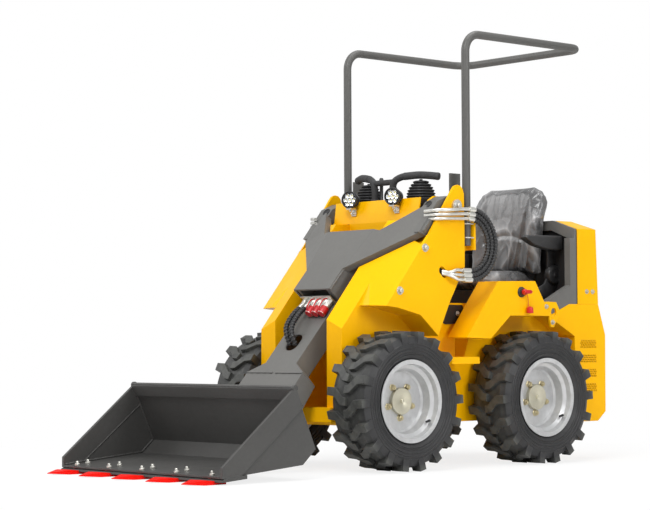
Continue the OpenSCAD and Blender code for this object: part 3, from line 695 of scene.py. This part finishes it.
# Quick couplers: three plated bodies on a bracket under the hood plate, each closed by a red cap
# with finger grooves and a soft strap.
red_cap = moulded("red_cap_plastic", (0.62, 0.012, 0.016), 0.36, 240, 0.0004, 0.001)
dress(bright_zinc, "quick_couplers")
boom_down = (on_boom(0, -1000, 0) - on_boom(0, 0, 0)).normalized()
caps, knurls = [], []
for x in (2, 42, 82):
    cap = turned("cap", [(0, -0.001), (0.0186, -0.001), (0.0192, 0.001), (0.0192, 0.030),
                         (0.0165, 0.0352), (0, 0.0352)], 48)
    for vertex in cap.data.vertices:
        spin = math.atan2(vertex.co.y, vertex.co.x)
        if 0.002 < vertex.co.z < 0.032 and vertex.co.xy.length > 0.017:
            vertex.co.xy *= 1 - 0.030 * (1 + math.cos(spin * 12)) / 2
    caps.append(placed(cap, on_boom(x, -640, 62), boom_down))
    nut = turned("nut", [(0.012, 0.0), (0.0178, 0.0), (0.0178, 0.014), (0.0165, 0.016), (0.0165, 0.024),
                         (0.0155, 0.026), (0.0155, 0.040), (0.012, 0.040)], 6)
    knurls.append(placed(nut, on_boom(x, -600, 62), boom_down))
    strap = tube("strap",
                 curved([on_boom(x, -668, 80), on_boom(x + 4, -656, 92), on_boom(x + 6, -625, 96),
                         on_boom(x + 3, -604, 82)], 0.006), 0.0028, 3)
    caps.append(strap)
wear(joined("coupler_caps", caps), red_cap, "boom")
wear(joined("coupler_nuts", knurls), bright_zinc, "boom")

# Bucket: a folded shell with welded sides, a bolted cutting edge and red hard-faced teeth. The
# whole bucket takes a darker grey than the boom, partly its own paint and partly painted shade
# matched to its shaded inside.
dark_grey = paint("bucket_grey_coat", (0.072, 0.071, 0.068), (0.056, 0.055, 0.053), 0.42, 0.003, 0.04,
                  0.28)
dress(grey, "coupler")
dress(dark_grey, "bucket_shell", "cutting_edge")
red = paint("red_gloss_coat", (0.86, 0.010, 0.004), (0.74, 0.006, 0.003), 0.42, 0.002, 0.0, 0.08)
dress(red, "bucket_teeth")
inside = [(-1.444, 0.036), (-1.052, 0.072), (-0.992, 0.124), (-1.090, 0.350)]
for tag, m in SIDES:
    weld(f"bucket_weld_{tag}", [at(m * 0.5205, y, z) for y, z in inside], 0.0046, dark_grey, "bucket")
    weld(f"bucket_strip_weld_{tag}", [at(m * 0.5218, -1.036, 0.293), at(m * 0.5218, -1.352, 0.043)],
         0.0026, dark_grey, "bucket")
edge_up = Vector((0, -0.0887, 0.996))
edge_spots = [(at(0.225 * k, y, z), edge_up) for k in range(-2, 3)
              for y, z in ((-1.430, 0.0256), (-1.378, 0.0303))]
bolts("edge_bolts", 0.021, edge_spots, "bucket")
stud = turned("stud", [(0, 0), (0.0058, 0), (0.0058, 0.0250), (0.0046, 0.0265), (0, 0.0268)], 16)
wear(repeated("edge_studs", stud, edge_spots), grey_zinc, "bucket")
roll_parts = [tube("roll", [at(x, -1.0895, 0.3615) for x in (-0.522, -0.3, 0, 0.3, 0.522)], 0.008, 5)]
for m in (1, -1):
    ear = turned("ear", [(0, -0.0085), (0.0120, -0.0085), (0.0135, -0.0070), (0.0135, 0.0045),
                         (0.0120, 0.0060), (0, 0.0060)], 32)
    roll_parts.append(placed(ear, at(m * 0.5295, -1.0860, 0.3590), (m, 0, 0)))
roll = joined("bucket_top_roll", roll_parts)
wear(roll, dark_grey, "bucket")


# Console: a black steel shelf with two bellows over the drive levers, foam grips to hold on to,
# and two round work lamps on plated brackets in front of the panel.
dress(black, "console_top")
foam = moulded("foam_grip", (0.030, 0.030, 0.031), 0.72, 700, 0.0012)
rail_parts = []
for m in (1, -1):
    stem = [at(m * x, y, z) for x, y, z in ((0.058, -0.112, 1.158), (0.058, -0.112, 1.214),
                                            (0.070, -0.110, 1.244), (0.100, -0.098, 1.260),
                                            (0.135, -0.083, 1.265))]
    rail_parts.append(tube("stem", curved(stem, 0.008), 0.0152, 5))
    rise = 0.0 if m == 1 else 0.012
    grip = [at(m * x, y, z) for x, y, z in ((0.112, -0.093, 1.2625), (0.170, -0.067, 1.266 + rise / 2),
                                           (0.215, -0.048, 1.263 + rise), (0.256, -0.030, 1.2575 + rise))]
    rail_parts.append(tube("grip", curved(grip, 0.006), 0.0168, 5))
    tip = turned("tip", [(0, -0.004), (0.0170, -0.004), (0.0172, 0.003), (0.0150, 0.008), (0.007, 0.0110),
                         (0, 0.0112)], 28)
    rail_parts.append(placed(tip, grip[-1], Vector((m * 0.9, 0.40, -0.12))))
    collar = turned("collar", [(0.010, 0), (0.019, 0), (0.019, 0.004), (0.0145, 0.010), (0.010, 0.010)],
                    28)
    rail_parts.append(placed(collar, at(m * 0.058, -0.112, 1.160)))
cross = tube("cross", [at(x, -0.1108, 1.240) for x in (-0.066, -0.03, 0, 0.03, 0.066)], 0.0130, 5)
rail = joined("hand_rail_grips", rail_parts + [cross])
wear(rail, foam, "chassis")
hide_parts("hand_rail")

boot_rubber = moulded("bellows_rubber", (0.024, 0.024, 0.025), 0.46, 160, 0.0008)
boot_outline = [(0, 0), (0.0660, 0), (0.0660, 0.005)]
for k in range(6):
    share = k / 5.0
    wide = 0.0650 - 0.0290 * share ** 1.9
    rise = 0.006 + 0.0126 * k
    boot_outline += [(wide - 0.0066, rise + 0.0006), (wide - 0.0022, rise + 0.0034),
                     (wide, rise + 0.0072), (wide - 0.0008, rise + 0.0092),
                     (wide - 0.0050, rise + 0.0112)]
boot_outline += [(0.0260, 0.0820), (0.0120, 0.0835), (0.0105, 0.0835), (0, 0.0835)]
boots = []
for m in (1, -1):
    boot = turned("boot", boot_outline, 56)
    boot_spot = at(m * 0.168, -0.046, 1.160)
    boots.append(placed(boot, boot_spot))
    knob = turned("knob", [(0, 0.08), (0.0080, 0.08), (0.0080, 0.0865), (0.0068, 0.0890), (0, 0.0890)],
                  24)
    boots.append(placed(knob, boot_spot))
boot_pair = joined("lever_bellows", boots)
bpy.ops.object.shade_smooth()
wear(boot_pair, boot_rubber, "chassis")
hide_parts("lever_boots")

lamp_shell = moulded("lamp_housing", (0.020, 0.020, 0.021), 0.42, 420, 0.0005)
reflector = plated("lamp_reflector", (0.90, 0.90, 0.88), 0.06, 1.0)
lamp_yaw = math.radians(20)
lamp_rear = Vector((-math.sin(lamp_yaw), math.cos(lamp_yaw), 0))
lamp_spots = [(at(m * 0.139 + 0.006, -0.200, 1.169), lamp_rear) for m in (1, -1)]
shell_line = [(0, 0.0095), (0.0318, 0.0095), (0.0330, 0.0), (0.0372, -0.0012), (0.0388, 0.0015),
              (0.0388, 0.0100), (0.0374, 0.0120)]
for k in range(5):
    wide, rise = 0.0372 - 0.0022 * k, 0.0140 + 0.0090 * k
    shell_line += [(wide, rise), (wide - 0.0045, rise + 0.0016), (wide - 0.0045, rise + 0.0040),
                   (wide - 0.0006, rise + 0.0058)]
shell_line += [(0.0180, 0.0610), (0, 0.0615)]
cups, chips, brackets = [], [], []
CUP_RING = 0.0200
sixths = [math.tau * k / 6 for k in range(6)]
for x, y in [(0, 0)] + [(CUP_RING * math.cos(t), CUP_RING * math.sin(t)) for t in sixths]:
    cup = turned("cup", [(0.0026, 0.0088), (0.0064, 0.0062), (0.0096, 0.0032), (0.0102, 0.0032),
                         (0.0102, 0.0094), (0.0026, 0.0094)], 20)
    cups.append(placed(cup, (x, y, 0)))
    chip = turned("chip", [(0, 0.0074), (0.0026, 0.0078), (0.0026, 0.0094), (0, 0.0094)], 10)
    chips.append(placed(chip, (x, y, 0)))
housing = repeated("lamp_housings", turned("shell", shell_line, 48), lamp_spots)
wear(housing, lamp_shell, "chassis")
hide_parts("work_lamps")
wear(repeated("lamp_cups", joined("cups", cups), lamp_spots), reflector, "chassis")
chip_set = repeated("lamp_chips", joined("chips", chips), lamp_spots)
lens_line = [(0, -0.0006), (0.0200, -0.0002), (0.0322, 0.0006), (0.0326, 0.0024), (0, 0.0024)]
lens = repeated("lamp_glasses", turned("lens", lens_line, 48), lamp_spots)
foot_line = ((0.004, -0.0375), (0.040, -0.0375), (0.0415, -0.0410), (0.0420, -0.072), (0.0375, -0.072),
             (0.0370, -0.0435), (0.004, -0.0435))
for m in (1, -1):
    middle = at(m * 0.139, -0.204, 1.169)
    foot = plate("foot", [middle + Vector((-0.015, y, z)) for y, z in foot_line], (0.030, 0, 0))
    brackets.append(soften(foot, 0.0008, 1))
    brackets.append(placed(hex_bolt(0.012), middle + Vector((0, 0.020, -0.0435)), (0, 0, -1)))
    for x in (-0.008, 0.008):
        brackets.append(placed(hex_bolt(0.009), middle + Vector((x, 0.0375, -0.060)), (0, -1, 0)))
phosphor, phosphor_shader, phosphor_place = finish("lamp_phosphor")
phosphor_tone = phosphor_place.noise(400, 2).between(0.3, 0.7)
feed(phosphor_shader, Base_Color=phosphor_tone.mix((0.86, 0.72, 0.22), (0.92, 0.80, 0.34)), Roughness=0.4)
wear(chip_set, phosphor, "chassis")
wear(joined("lamp_brackets", brackets), bright_zinc, "chassis")
lens_glass, lens_shader, lens_place = finish("lamp_lens")
lens_haze = lens_place.noise(120, 2).between(0.3, 0.7)
feed(lens_shader, Base_Color=(0.96, 0.98, 1, 1), Roughness=lens_haze * 0.03 + 0.02)
lens_shader.inputs["Transmission Weight"].default_value = 1.0
lens_shader.inputs["IOR"].default_value = 1.2
wear(lens, lens_glass, "chassis")
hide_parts("lamp_lenses")

# Two short auxiliary levers between the grips, steel posts under black rubber sleeves.
sleeves = []
for x, z, wide in ((-0.043, 1.266, 0.0098), (0.047, 1.220, 0.0082)):
    tall = z - 1.158
    sleeve_line = [(0, 0), (wide * 1.5, 0), (wide * 1.45, 0.004), (wide * 0.82, 0.012),
                   (wide * 0.80, tall - 0.034), (wide * 0.98, tall - 0.030), (wide, tall - 0.010),
                   (wide * 0.86, tall - 0.003), (wide * 0.50, tall), (0, tall + 0.0006)]
    sleeve = turned("sleeve", sleeve_line, 32)
    bpy.ops.object.shade_smooth()
    sleeves.append(placed(sleeve, at(x, -0.086, 1.158)))
wear(joined("lever_sleeves", sleeves), boot_rubber, "chassis")

# Roll bar: one bent tube in slate grey whose legs stand in open yellow brackets on the towers, held
# by two clamp straps each, with flat guard plates at the pivots.
bar_grey = paint("roll_bar_grey_coat", (0.105, 0.104, 0.099), (0.088, 0.087, 0.083), 0.40, 0.002, 0.04,
                 0.28)
dress(bar_grey, "guard_plates")
BAR_HALF, BAR_FRONT, BAR_BACK = 0.3815, 0.019, 0.780
BAR_FOOT, BAR_TOP, BAR_BEND, BAR_RADIUS = 0.951, 1.874, 0.080, 0.0180


def bend(corner, before, after, steps=10):
    """The quarter circle that joins two straight runs at a corner."""
    a, b = (before - corner).normalized() * BAR_BEND, (after - corner).normalized() * BAR_BEND
    turns = [math.pi / 2 * k / steps for k in range(steps + 1)]
    return [corner + a + b - a * math.sin(t) - b * math.cos(t) for t in turns]


half_bar = [at(BAR_HALF, BAR_FRONT, BAR_FOOT), at(BAR_HALF, BAR_FRONT, BAR_TOP),
            at(BAR_HALF, BAR_BACK, BAR_TOP)]
bar_corners = half_bar + [Vector((-c.x, c.y, c.z)) for c in reversed(half_bar)]
bar_line = [bar_corners[0]]
for before, corner, after in zip(bar_corners, bar_corners[1:], bar_corners[2:]):
    bar_line += bend(corner, before, after)
bar = tube("roll_bar_tube", bar_line + [bar_corners[-1]], BAR_RADIUS, 6)
wear(bar, bar_grey, "chassis")
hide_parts("roll_bar")
SOCKET_LOW, SOCKET_HIGH = 0.932, 1.078
brackets, straps = [], []
for m in (1, -1):
    for x, thick, front in ((0.3525, 0.0100, -0.010), (0.3560, 0.052, 0.0385)):
        wall_line = ((front, SOCKET_LOW), (0.050, SOCKET_LOW), (0.050, SOCKET_HIGH), (front, SOCKET_HIGH))
        wall = plate("wall", [at(m * x, y, z) for y, z in wall_line], (m * thick, 0, 0))
        brackets.append(soften(wall, 0.002, 2))
    for z in (0.985, 1.045):
        strap = [at(m * x, y, z) for x, y in ((0.404, 0.040), (0.4035, 0.020), (0.399, 0.006),
                                              (0.3885, -0.001), (0.3775, -0.001), (0.3665, 0.003),
                                              (0.3600, 0.003))]
        straps.append(tube("strap", curved(strap, 0.004), 0.0034, 3))
clamps = joined("bar_brackets", brackets)
wear(clamps, yellow, "chassis")
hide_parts("bar_sockets")
wear(joined("bar_straps", straps), grey_zinc, "chassis")

# Battery isolator: a red key in a black boss on the left tank, with a rubber cap on a short cord.
boss = turned("isolator_boss", [(0, 0), (0.0230, 0), (0.0230, 0.004), (0.0215, 0.006), (0.0175, 0.008),
                       (0.0165, 0.0162), (0, 0.0162)], 40)
placed(boss, at(0.420, 0.318, 0.754), (1, 0, 0))
wear(boss, lamp_shell, "chassis")
key = turned("key", [(0, 0), (0.0125, 0), (0.0130, 0.002), (0.0130, 0.012), (0.0105, 0.0165),
                     (0, 0.0165)], 32)
placed(key, at(0.4355, 0.318, 0.754), (1, 0, 0))
flag = plate("flag",
             [at(0.4415, y, z) for y, z in ((0.302, 0.748), (0.318, 0.745), (0.340, 0.746),
                                            (0.350, 0.751), (0.350, 0.758), (0.340, 0.763),
                                            (0.318, 0.763), (0.302, 0.760))], (0.0195, 0, 0))
soften(flag, 0.004, 3)
isolator_key = joined("isolator_key", [key, flag])
wear(isolator_key, red_cap, "chassis")
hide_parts("isolator")
tether_route = curved([at(0.4245, 0.337, 0.752), at(0.4265, 0.347, 0.747), at(0.4270, 0.3535, 0.733),
                       at(0.4265, 0.3560, 0.712), at(0.4260, 0.3570, 0.690)], 0.003)
tether = tube("cap_tether", tether_route, 0.0014, 3)
wear(tether, red_cap, "chassis")
hang_cap = turned("tether_cap", [(0, 0.003), (0.006, 0.002), (0.0135, -0.003), (0.0150, -0.010),
                                 (0.0150, -0.026), (0.0135, -0.0275), (0.0125, -0.026), (0, -0.024)], 32)
placed(hang_cap, at(0.4355, 0.3572, 0.689))
wear(hang_cap, red_cap, "chassis")
span(tether_route)

# Hood and its frame: a folded yellow shell that hinges at the tail, closing on a grey portal with a
# rubber seal. Perforated panels cool the engine through the rear body's sides.
dress(grey, "hood_frames")


def block(name, size, spot=(0, 0, 0)):
    """A box of a size at a spot, with both kept in its mesh."""
    piece = start("cube", name, size=1, location=spot, scale=size)
    bpy.ops.object.transform_apply(location=True, rotation=True, scale=True)
    return piece


seal_line = [at(x, 0.7540, z) for x, z in ((-0.3555, 0.710), (-0.3555, 1.0455), (-0.2295, 1.0880),
                                           (0, 1.0885), (0.2295, 1.0880), (0.3555, 1.0455),
                                           (0.3555, 0.710))]
seal = tube("hood_seal", stretch(seal_line, 0.012), 0.0038, 3)
wear(seal, hose_cover, "chassis")
bulkhead_line = ((-0.344, 0.712), (0.344, 0.712), (0.344, 1.030), (0.222, 1.072), (-0.222, 1.072),
                 (-0.344, 1.030))
bulkhead = plate("engine_bulkhead", [at(x, 0.7506, z) for x, z in bulkhead_line], (0, 0.0022, 0))
soften(bulkhead, 0.0006, 1)
ribs = []
for k in range(5):
    rib = block("rib", (0.016, 0.004, 0.26), at(-0.20 + 0.10 * k, 0.7500, 0.880))
    ribs.append(soften(rib, 0.0016, 2))
wear(joined("engine_bulkhead", [bulkhead] + ribs), black, "chassis")
bolts("hood_bolts", 0.012, [(at(m * 0.360, y, 0.764), outward[m]) for m in (1, -1)
                            for y in (0.819, 0.859)], "hood")
latch = block("hood_latch", (0.070, 0.010, 0.034), at(0, 0.876, 1.030))
soften(latch, 0.004, 3)
handle = tube("handle", curved([at(-0.055, 0.892, 0.985), at(-0.055, 0.902, 0.985),
                                at(-0.040, 0.906, 0.985), at(0.040, 0.906, 0.985),
                                at(0.055, 0.902, 0.985), at(0.055, 0.892, 0.985)], 0.006), 0.006, 4)
wear(joined("hood_handle", [handle, latch]), lamp_shell, "hood")

panel = block("panel", (0.005, 0.1160, 0.0400))
punch = start("cylinder", "punch", vertices=12, radius=0.0040, depth=0.03, rotation=(0, math.pi / 2, 0))
bpy.ops.object.transform_apply(location=True, rotation=True, scale=True)
holes = []
for row in range(4):
    for k in range(10 - row % 2):
        holes.append(((0, -0.0505 + 0.0112 * k + 0.0056 * (row % 2), -0.0138 + 0.0092 * row), (0, 0, 1)))
punches = repeated("punches", punch, holes)
modify(panel, "BOOLEAN", operation="DIFFERENCE", object=punches, solver="EXACT")
bpy.data.objects.remove(punches)
bpy.ops.object.shade_smooth_by_angle(angle=math.radians(30))
panel_spots = [(at(m * 0.3575, 0.828, 0.326 + 0.066 * row), (0, 0, 1)) for m in (1, -1)
               for row in range(4)]
vents = repeated("perforated_panels", panel, panel_spots)
wear(vents, yellow, "chassis")
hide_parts("vent_grilles")
# black plates behind the perforated panels are painted shade: they make the holes dark where the rear
# body's inside would show
vent_shade_backing = soften(block("vent_shade_backing", (0.002, 0.128, 0.262)), 0.0006, 1)
vent_shade_backings = repeated("vent_shade_plates", vent_shade_backing, [(at(m * 0.3528, 0.828, 0.425), (0, 0, 1)) for m in (1, -1)])
wear(vent_shade_backings, black, "chassis")

# Engine: a cast block under the hood with a ribbed rocker cover, an air cleaner can and a filler cap.
cast = paint("cast_iron_enamel", (0.060, 0.062, 0.064), (0.042, 0.043, 0.045), 0.55, 0.003, 0.0)
dress(cast, "engine_block")
rocker_parts = [soften(block("rocker", (0.300, 0.090, 0.046), at(0, 0.810, 0.640)), 0.010, 3)]
for k in range(9):
    rib = block("rib", (0.006, 0.074, 0.008), at(-0.128 + 0.032 * k, 0.810, 0.664))
    rocker_parts.append(soften(rib, 0.002, 2))
wear(joined("rocker_cover", rocker_parts), cast, "chassis")
can = turned("air_cleaner", [(0, -0.11), (0.046, -0.11), (0.050, -0.104), (0.050, -0.060),
                             (0.053, -0.057), (0.053, -0.050), (0.050, -0.047), (0.050, 0.094),
                             (0.044, 0.104), (0.016, 0.106), (0.014, 0.112), (0, 0.112)], 40)
placed(can, at(0.0, 0.822, 0.760), (1, 0, 0))
wear(can, lamp_shell, "chassis")
intake_bends = [at(-0.16, 0.822, 0.758), at(-0.205, 0.820, 0.725), at(-0.212, 0.806, 0.66)]
intake_line = curved([at(-0.108, 0.822, 0.760)] + intake_bends + [at(-0.200, 0.808, 0.600)], 0.008)
intake = tube("intake_hose", intake_line, 0.017, 5)
band_line = wound(curved([at(-0.120, 0.822, 0.760)] + intake_bends, 0.006), 0.0172, 0.012)
wear(joined("intake_hose", [intake, tube("bands", band_line, 0.0022, 1)]), hose_cover,
     "chassis")
feet = []
for x in (-0.06, 0.06):
    strap = block("strap", (0.022, 0.060, 0.060), at(x, 0.822, 0.690))
    feet.append(soften(strap, 0.006, 2))
wear(joined("cleaner_feet", feet), black, "chassis")


# Seat: foam pads under black vinyl, still in the clear film they are delivered in, on a steel pan.
# Each pad is swollen from inside, and the sewn seams are pressed in afterwards.
dress(black, "seat_deck", "seat_base")


def pad(name, front, rear, half, low, high, across=14, tall=16):
    """A closed block between a front and a rear sheet, each given by a rule for its place."""
    form = start("grid", name, x_subdivisions=across, y_subdivisions=tall, size=2)
    for vertex in form.data.vertices:
        u, v = vertex.co.x, (vertex.co.y + 1) / 2
        level = low + (high - low) * v
        vertex.co = front(u * half(v), level)
    open_mesh()
    bpy.ops.mesh.extrude_region_move(TRANSFORM_OT_translate={"value": (0, 0, 0)})
    bpy.ops.object.mode_set(mode="OBJECT")
    for vertex in form.data.vertices:
        if vertex.select:
            vertex.co = rear(vertex.co)
    open_mesh()
    close_mesh()
    return form


def stuffed(piece, most, seams):
    """Swell a pad by inner pressure, no point further than most, then press its seams in."""
    modify(piece, "REMESH", mode="VOXEL", voxel_size=0.0055)
    rest = [vertex.co.copy() for vertex in piece.data.vertices]
    cloth = piece.modifiers.new("pressure", "CLOTH")
    cloth.settings.use_pressure = True
    cloth.settings.uniform_pressure_force = 4
    cloth.settings.effector_weights.gravity = 0
    for step in range(1, 21):
        scene.frame_set(step)
    alone(piece)
    bpy.ops.object.modifier_apply(modifier=cloth.name)
    scene.frame_set(1)
    for vertex, before in zip(piece.data.vertices, rest):
        move = vertex.co - before
        if move.length > most:
            vertex.co = before + move * (most / move.length)
    modify(piece, "SMOOTH", factor=0.5, iterations=2)
    for depth, width, away in seams:
        inward = [vertex.normal.copy() for vertex in piece.data.vertices]
        for vertex, normal in zip(piece.data.vertices, inward):
            reach = away(vertex.co, normal)
            if reach is not None:
                vertex.co -= normal * depth * math.exp(-(reach / width) ** 2)
    modify(piece, "SUBSURF", levels=1, render_levels=1)
    bpy.ops.object.shade_smooth()


vinyl, vinyl_shader, vinyl_place = finish("vinyl_under_film")
fold = vinyl_place.node("ShaderNodeMapping", {"vector_type": "POINT"},
                        {"Vector": vinyl_place, "Scale": (1.0, 1.0, 0.55)})
# The film's look is painted into the base colour: bright thin lines along the creases are painted
# highlights, and the soft light patches are painted reflections of the bright surround; the coat adds
# real reflections on top.
ridge = fold.noise(5.0, 0.5, 0.4) - 0.5
crease = (1 - ridge.absolute() * 15.0).between(0.0, 1.0)
fine = fold.noise(17, 0.8, 0.4) - 0.5
small = (1 - fine.absolute() * 9.0).between(0.0, 1.0)
painted_crease_highlight = crease * crease * crease * crease * 0.55 + small * small * small * crease * 0.4
painted_film_reflection = vinyl_place.noise(4, 1).between(0.30, 0.68)
film_tone_with_painted_reflections = painted_crease_highlight + painted_film_reflection * 0.46 + small * 0.03
feed(vinyl_shader, Base_Color=film_tone_with_painted_reflections.between(0.0, 1.0).mix((0.018, 0.018, 0.019),
                                                               (0.36, 0.36, 0.365)))
feed(vinyl_shader, Roughness=vinyl_place.noise(20, 4).between(0.3, 0.7) * 0.14 + 0.22)
feed(vinyl_shader, Coat_Weight=0.8, Coat_Roughness=0.24)
surface(vinyl_shader, crease * 0.8 + small * 0.2, 0.7, 0.014)


def seat_half(v):
    return 0.196 + 0.016 * math.sin(math.pi * v)


def clamped(value):
    return min(1.0, max(0.0, value))


def bolster(x):
    """How far the side wings stand out at a place across the seat."""
    wide = clamped((abs(x) - 0.115) / 0.055)
    return wide * wide * (3 - 2 * wide)


def cushion_top(c):
    """The cushion's upper side over a point of its lower one, with wings that end at the backrest."""
    wing = bolster(c.x) * clamped((0.646 + AXLE_SHIFT - c.y) / 0.045)
    return Vector((c.x * 0.98, c.y, 0.822 + 0.026 * wing))


cushion = pad("seat_cushion_pad", lambda x, y: at(x, y, 0.786), cushion_top, seat_half, 0.318, 0.682)
soften(cushion, 0.020, 3, 50)


def on_top(rule):
    """A seam's distance rule that holds only on faces turned up."""
    return lambda spot, normal: rule(spot) if normal.z > 0.4 else None


stuffed(cushion, 0.014, (
    (0.008, 0.007, on_top(lambda c: abs(c.x) - 0.135)),
    (0.007, 0.007, on_top(lambda c: c.y - AXLE_SHIFT - 0.375 if abs(c.x) < 0.14 else 9)),
    (0.005, 0.007, on_top(lambda c: c.y - AXLE_SHIFT - 0.52 if abs(c.x) < 0.14 else 9))))
wear(cushion, vinyl, "chassis")
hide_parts("seat_cushion")


def along_back(stops, z):
    """A place along the backrest's side line at a height."""
    for (z0, y0), (z1, y1) in zip(stops, stops[1:]):
        if z <= z1:
            return y0 + (y1 - y0) * max(0.0, (z - z0) / (z1 - z0))
    return stops[-1][1]


BACK_FACE = ((0.840, 0.652), (1.040, 0.668), (1.140, 0.677), (1.190, 0.684), (1.225, 0.692),
             (1.262, 0.706))
BACK_REAR = ((0.840, 0.692), (1.093, 0.714), (1.180, 0.731), (1.262, 0.730))


def back_half(v):
    z = 0.844 + 0.418 * v
    if z > 1.170:
        return 0.130 + 0.088 * math.sqrt(max(0.0, 1 - ((z - 1.170) / 0.093) ** 2))
    return 0.202 + 0.016 * (z - 0.844) / 0.326


def back_face(x, z):
    """The backrest's side to the sitter, with wings that fade towards the head."""
    wing = bolster(x) * clamped((1.215 - z) / 0.120)
    return at(x, along_back(BACK_FACE, z) - 0.024 * wing, z)


def back_rear(c):
    return Vector((c.x, along_back(BACK_REAR, c.z) + AXLE_SHIFT, c.z))


rest = pad("seat_back_pad", back_face, back_rear, back_half, 0.844, 1.262)
soften(rest, 0.022, 3, 50)


def on_face(rule):
    """A seam's distance rule that holds only on faces turned to the sitter."""
    return lambda spot, normal: rule(spot) if normal.y < -0.4 else None


def side_seam(c):
    """The seams beside the middle of the back spread upwards and fade out below the head."""
    return math.hypot(abs(c.x) - 0.080 - 0.19 * (c.z - 0.860), max(0.0, c.z - 1.11) * 0.25)


stuffed(rest, 0.012, (
    (0.010, 0.007, on_face(side_seam)),
    (0.004, 0.010, on_face(lambda c: c.z - 1.030 + 1.9 * c.x * c.x if abs(c.x) < 0.13 else 9))))
wear(rest, vinyl, "chassis")
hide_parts("seat_back")

# Armrests: soft moulded arms on a steel hinge plate, and the round cover of the recliner.
skin = moulded("armrest_skin", (0.028, 0.028, 0.029), 0.50, 420, 0.0008)
HINGE_FACE = 0.2255
HINGE_SIDE = ((0.692, 0.850), (0.738, 0.850), (0.738, 1.000), (0.692, 1.000))
FOOT_SIDE = ((0.612, 0.737), (0.746, 0.737), (0.746, 0.800), (0.700, 0.848), (0.670, 0.800),
             (0.612, 0.775))
arms, covers = [], []
ARM_SIDE = [(0.496, 1.009), (0.520, 1.018), (0.600, 1.0195), (0.748, 1.021), (0.744, 0.954),
            (0.700, 0.954), (0.640, 0.956), (0.560, 0.973), (0.510, 0.997)]
for m in (1, -1):
    arm = plate("arm", [at(m * 0.240, y, z) for y, z in ARM_SIDE], (m * 0.046, 0, 0))
    soften(arm, 0.016, 5, 40)
    arms.append(arm)
    cover = turned("cover", [(0, 0), (0.0455, 0), (0.0460, 0.004), (0.0450, 0.018), (0.0400, 0.026),
                             (0.0300, 0.0285), (0.0285, 0.0262), (0.0120, 0.0268), (0.0100, 0.0290),
                             (0, 0.0296)], 48)
    covers.append(placed(cover, at(m * HINGE_FACE, 0.728, 0.842), (m, 0, 0)))
    hinge = plate("hinge", [at(m * HINGE_FACE, y, z) for y, z in HINGE_SIDE], (m * 0.012, 0, 0))
    covers.append(soften(hinge, 0.004, 2))
    foot = plate("foot", [at(m * HINGE_FACE, y, z) for y, z in FOOT_SIDE], (m * 0.0115, 0, 0))
    covers.append(soften(foot, 0.003, 2))
arm_pair = joined("armrest_pair", arms)
wear(arm_pair, skin, "chassis")
wear(joined("recliner_covers", covers), lamp_shell, "chassis")
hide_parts("armrests")
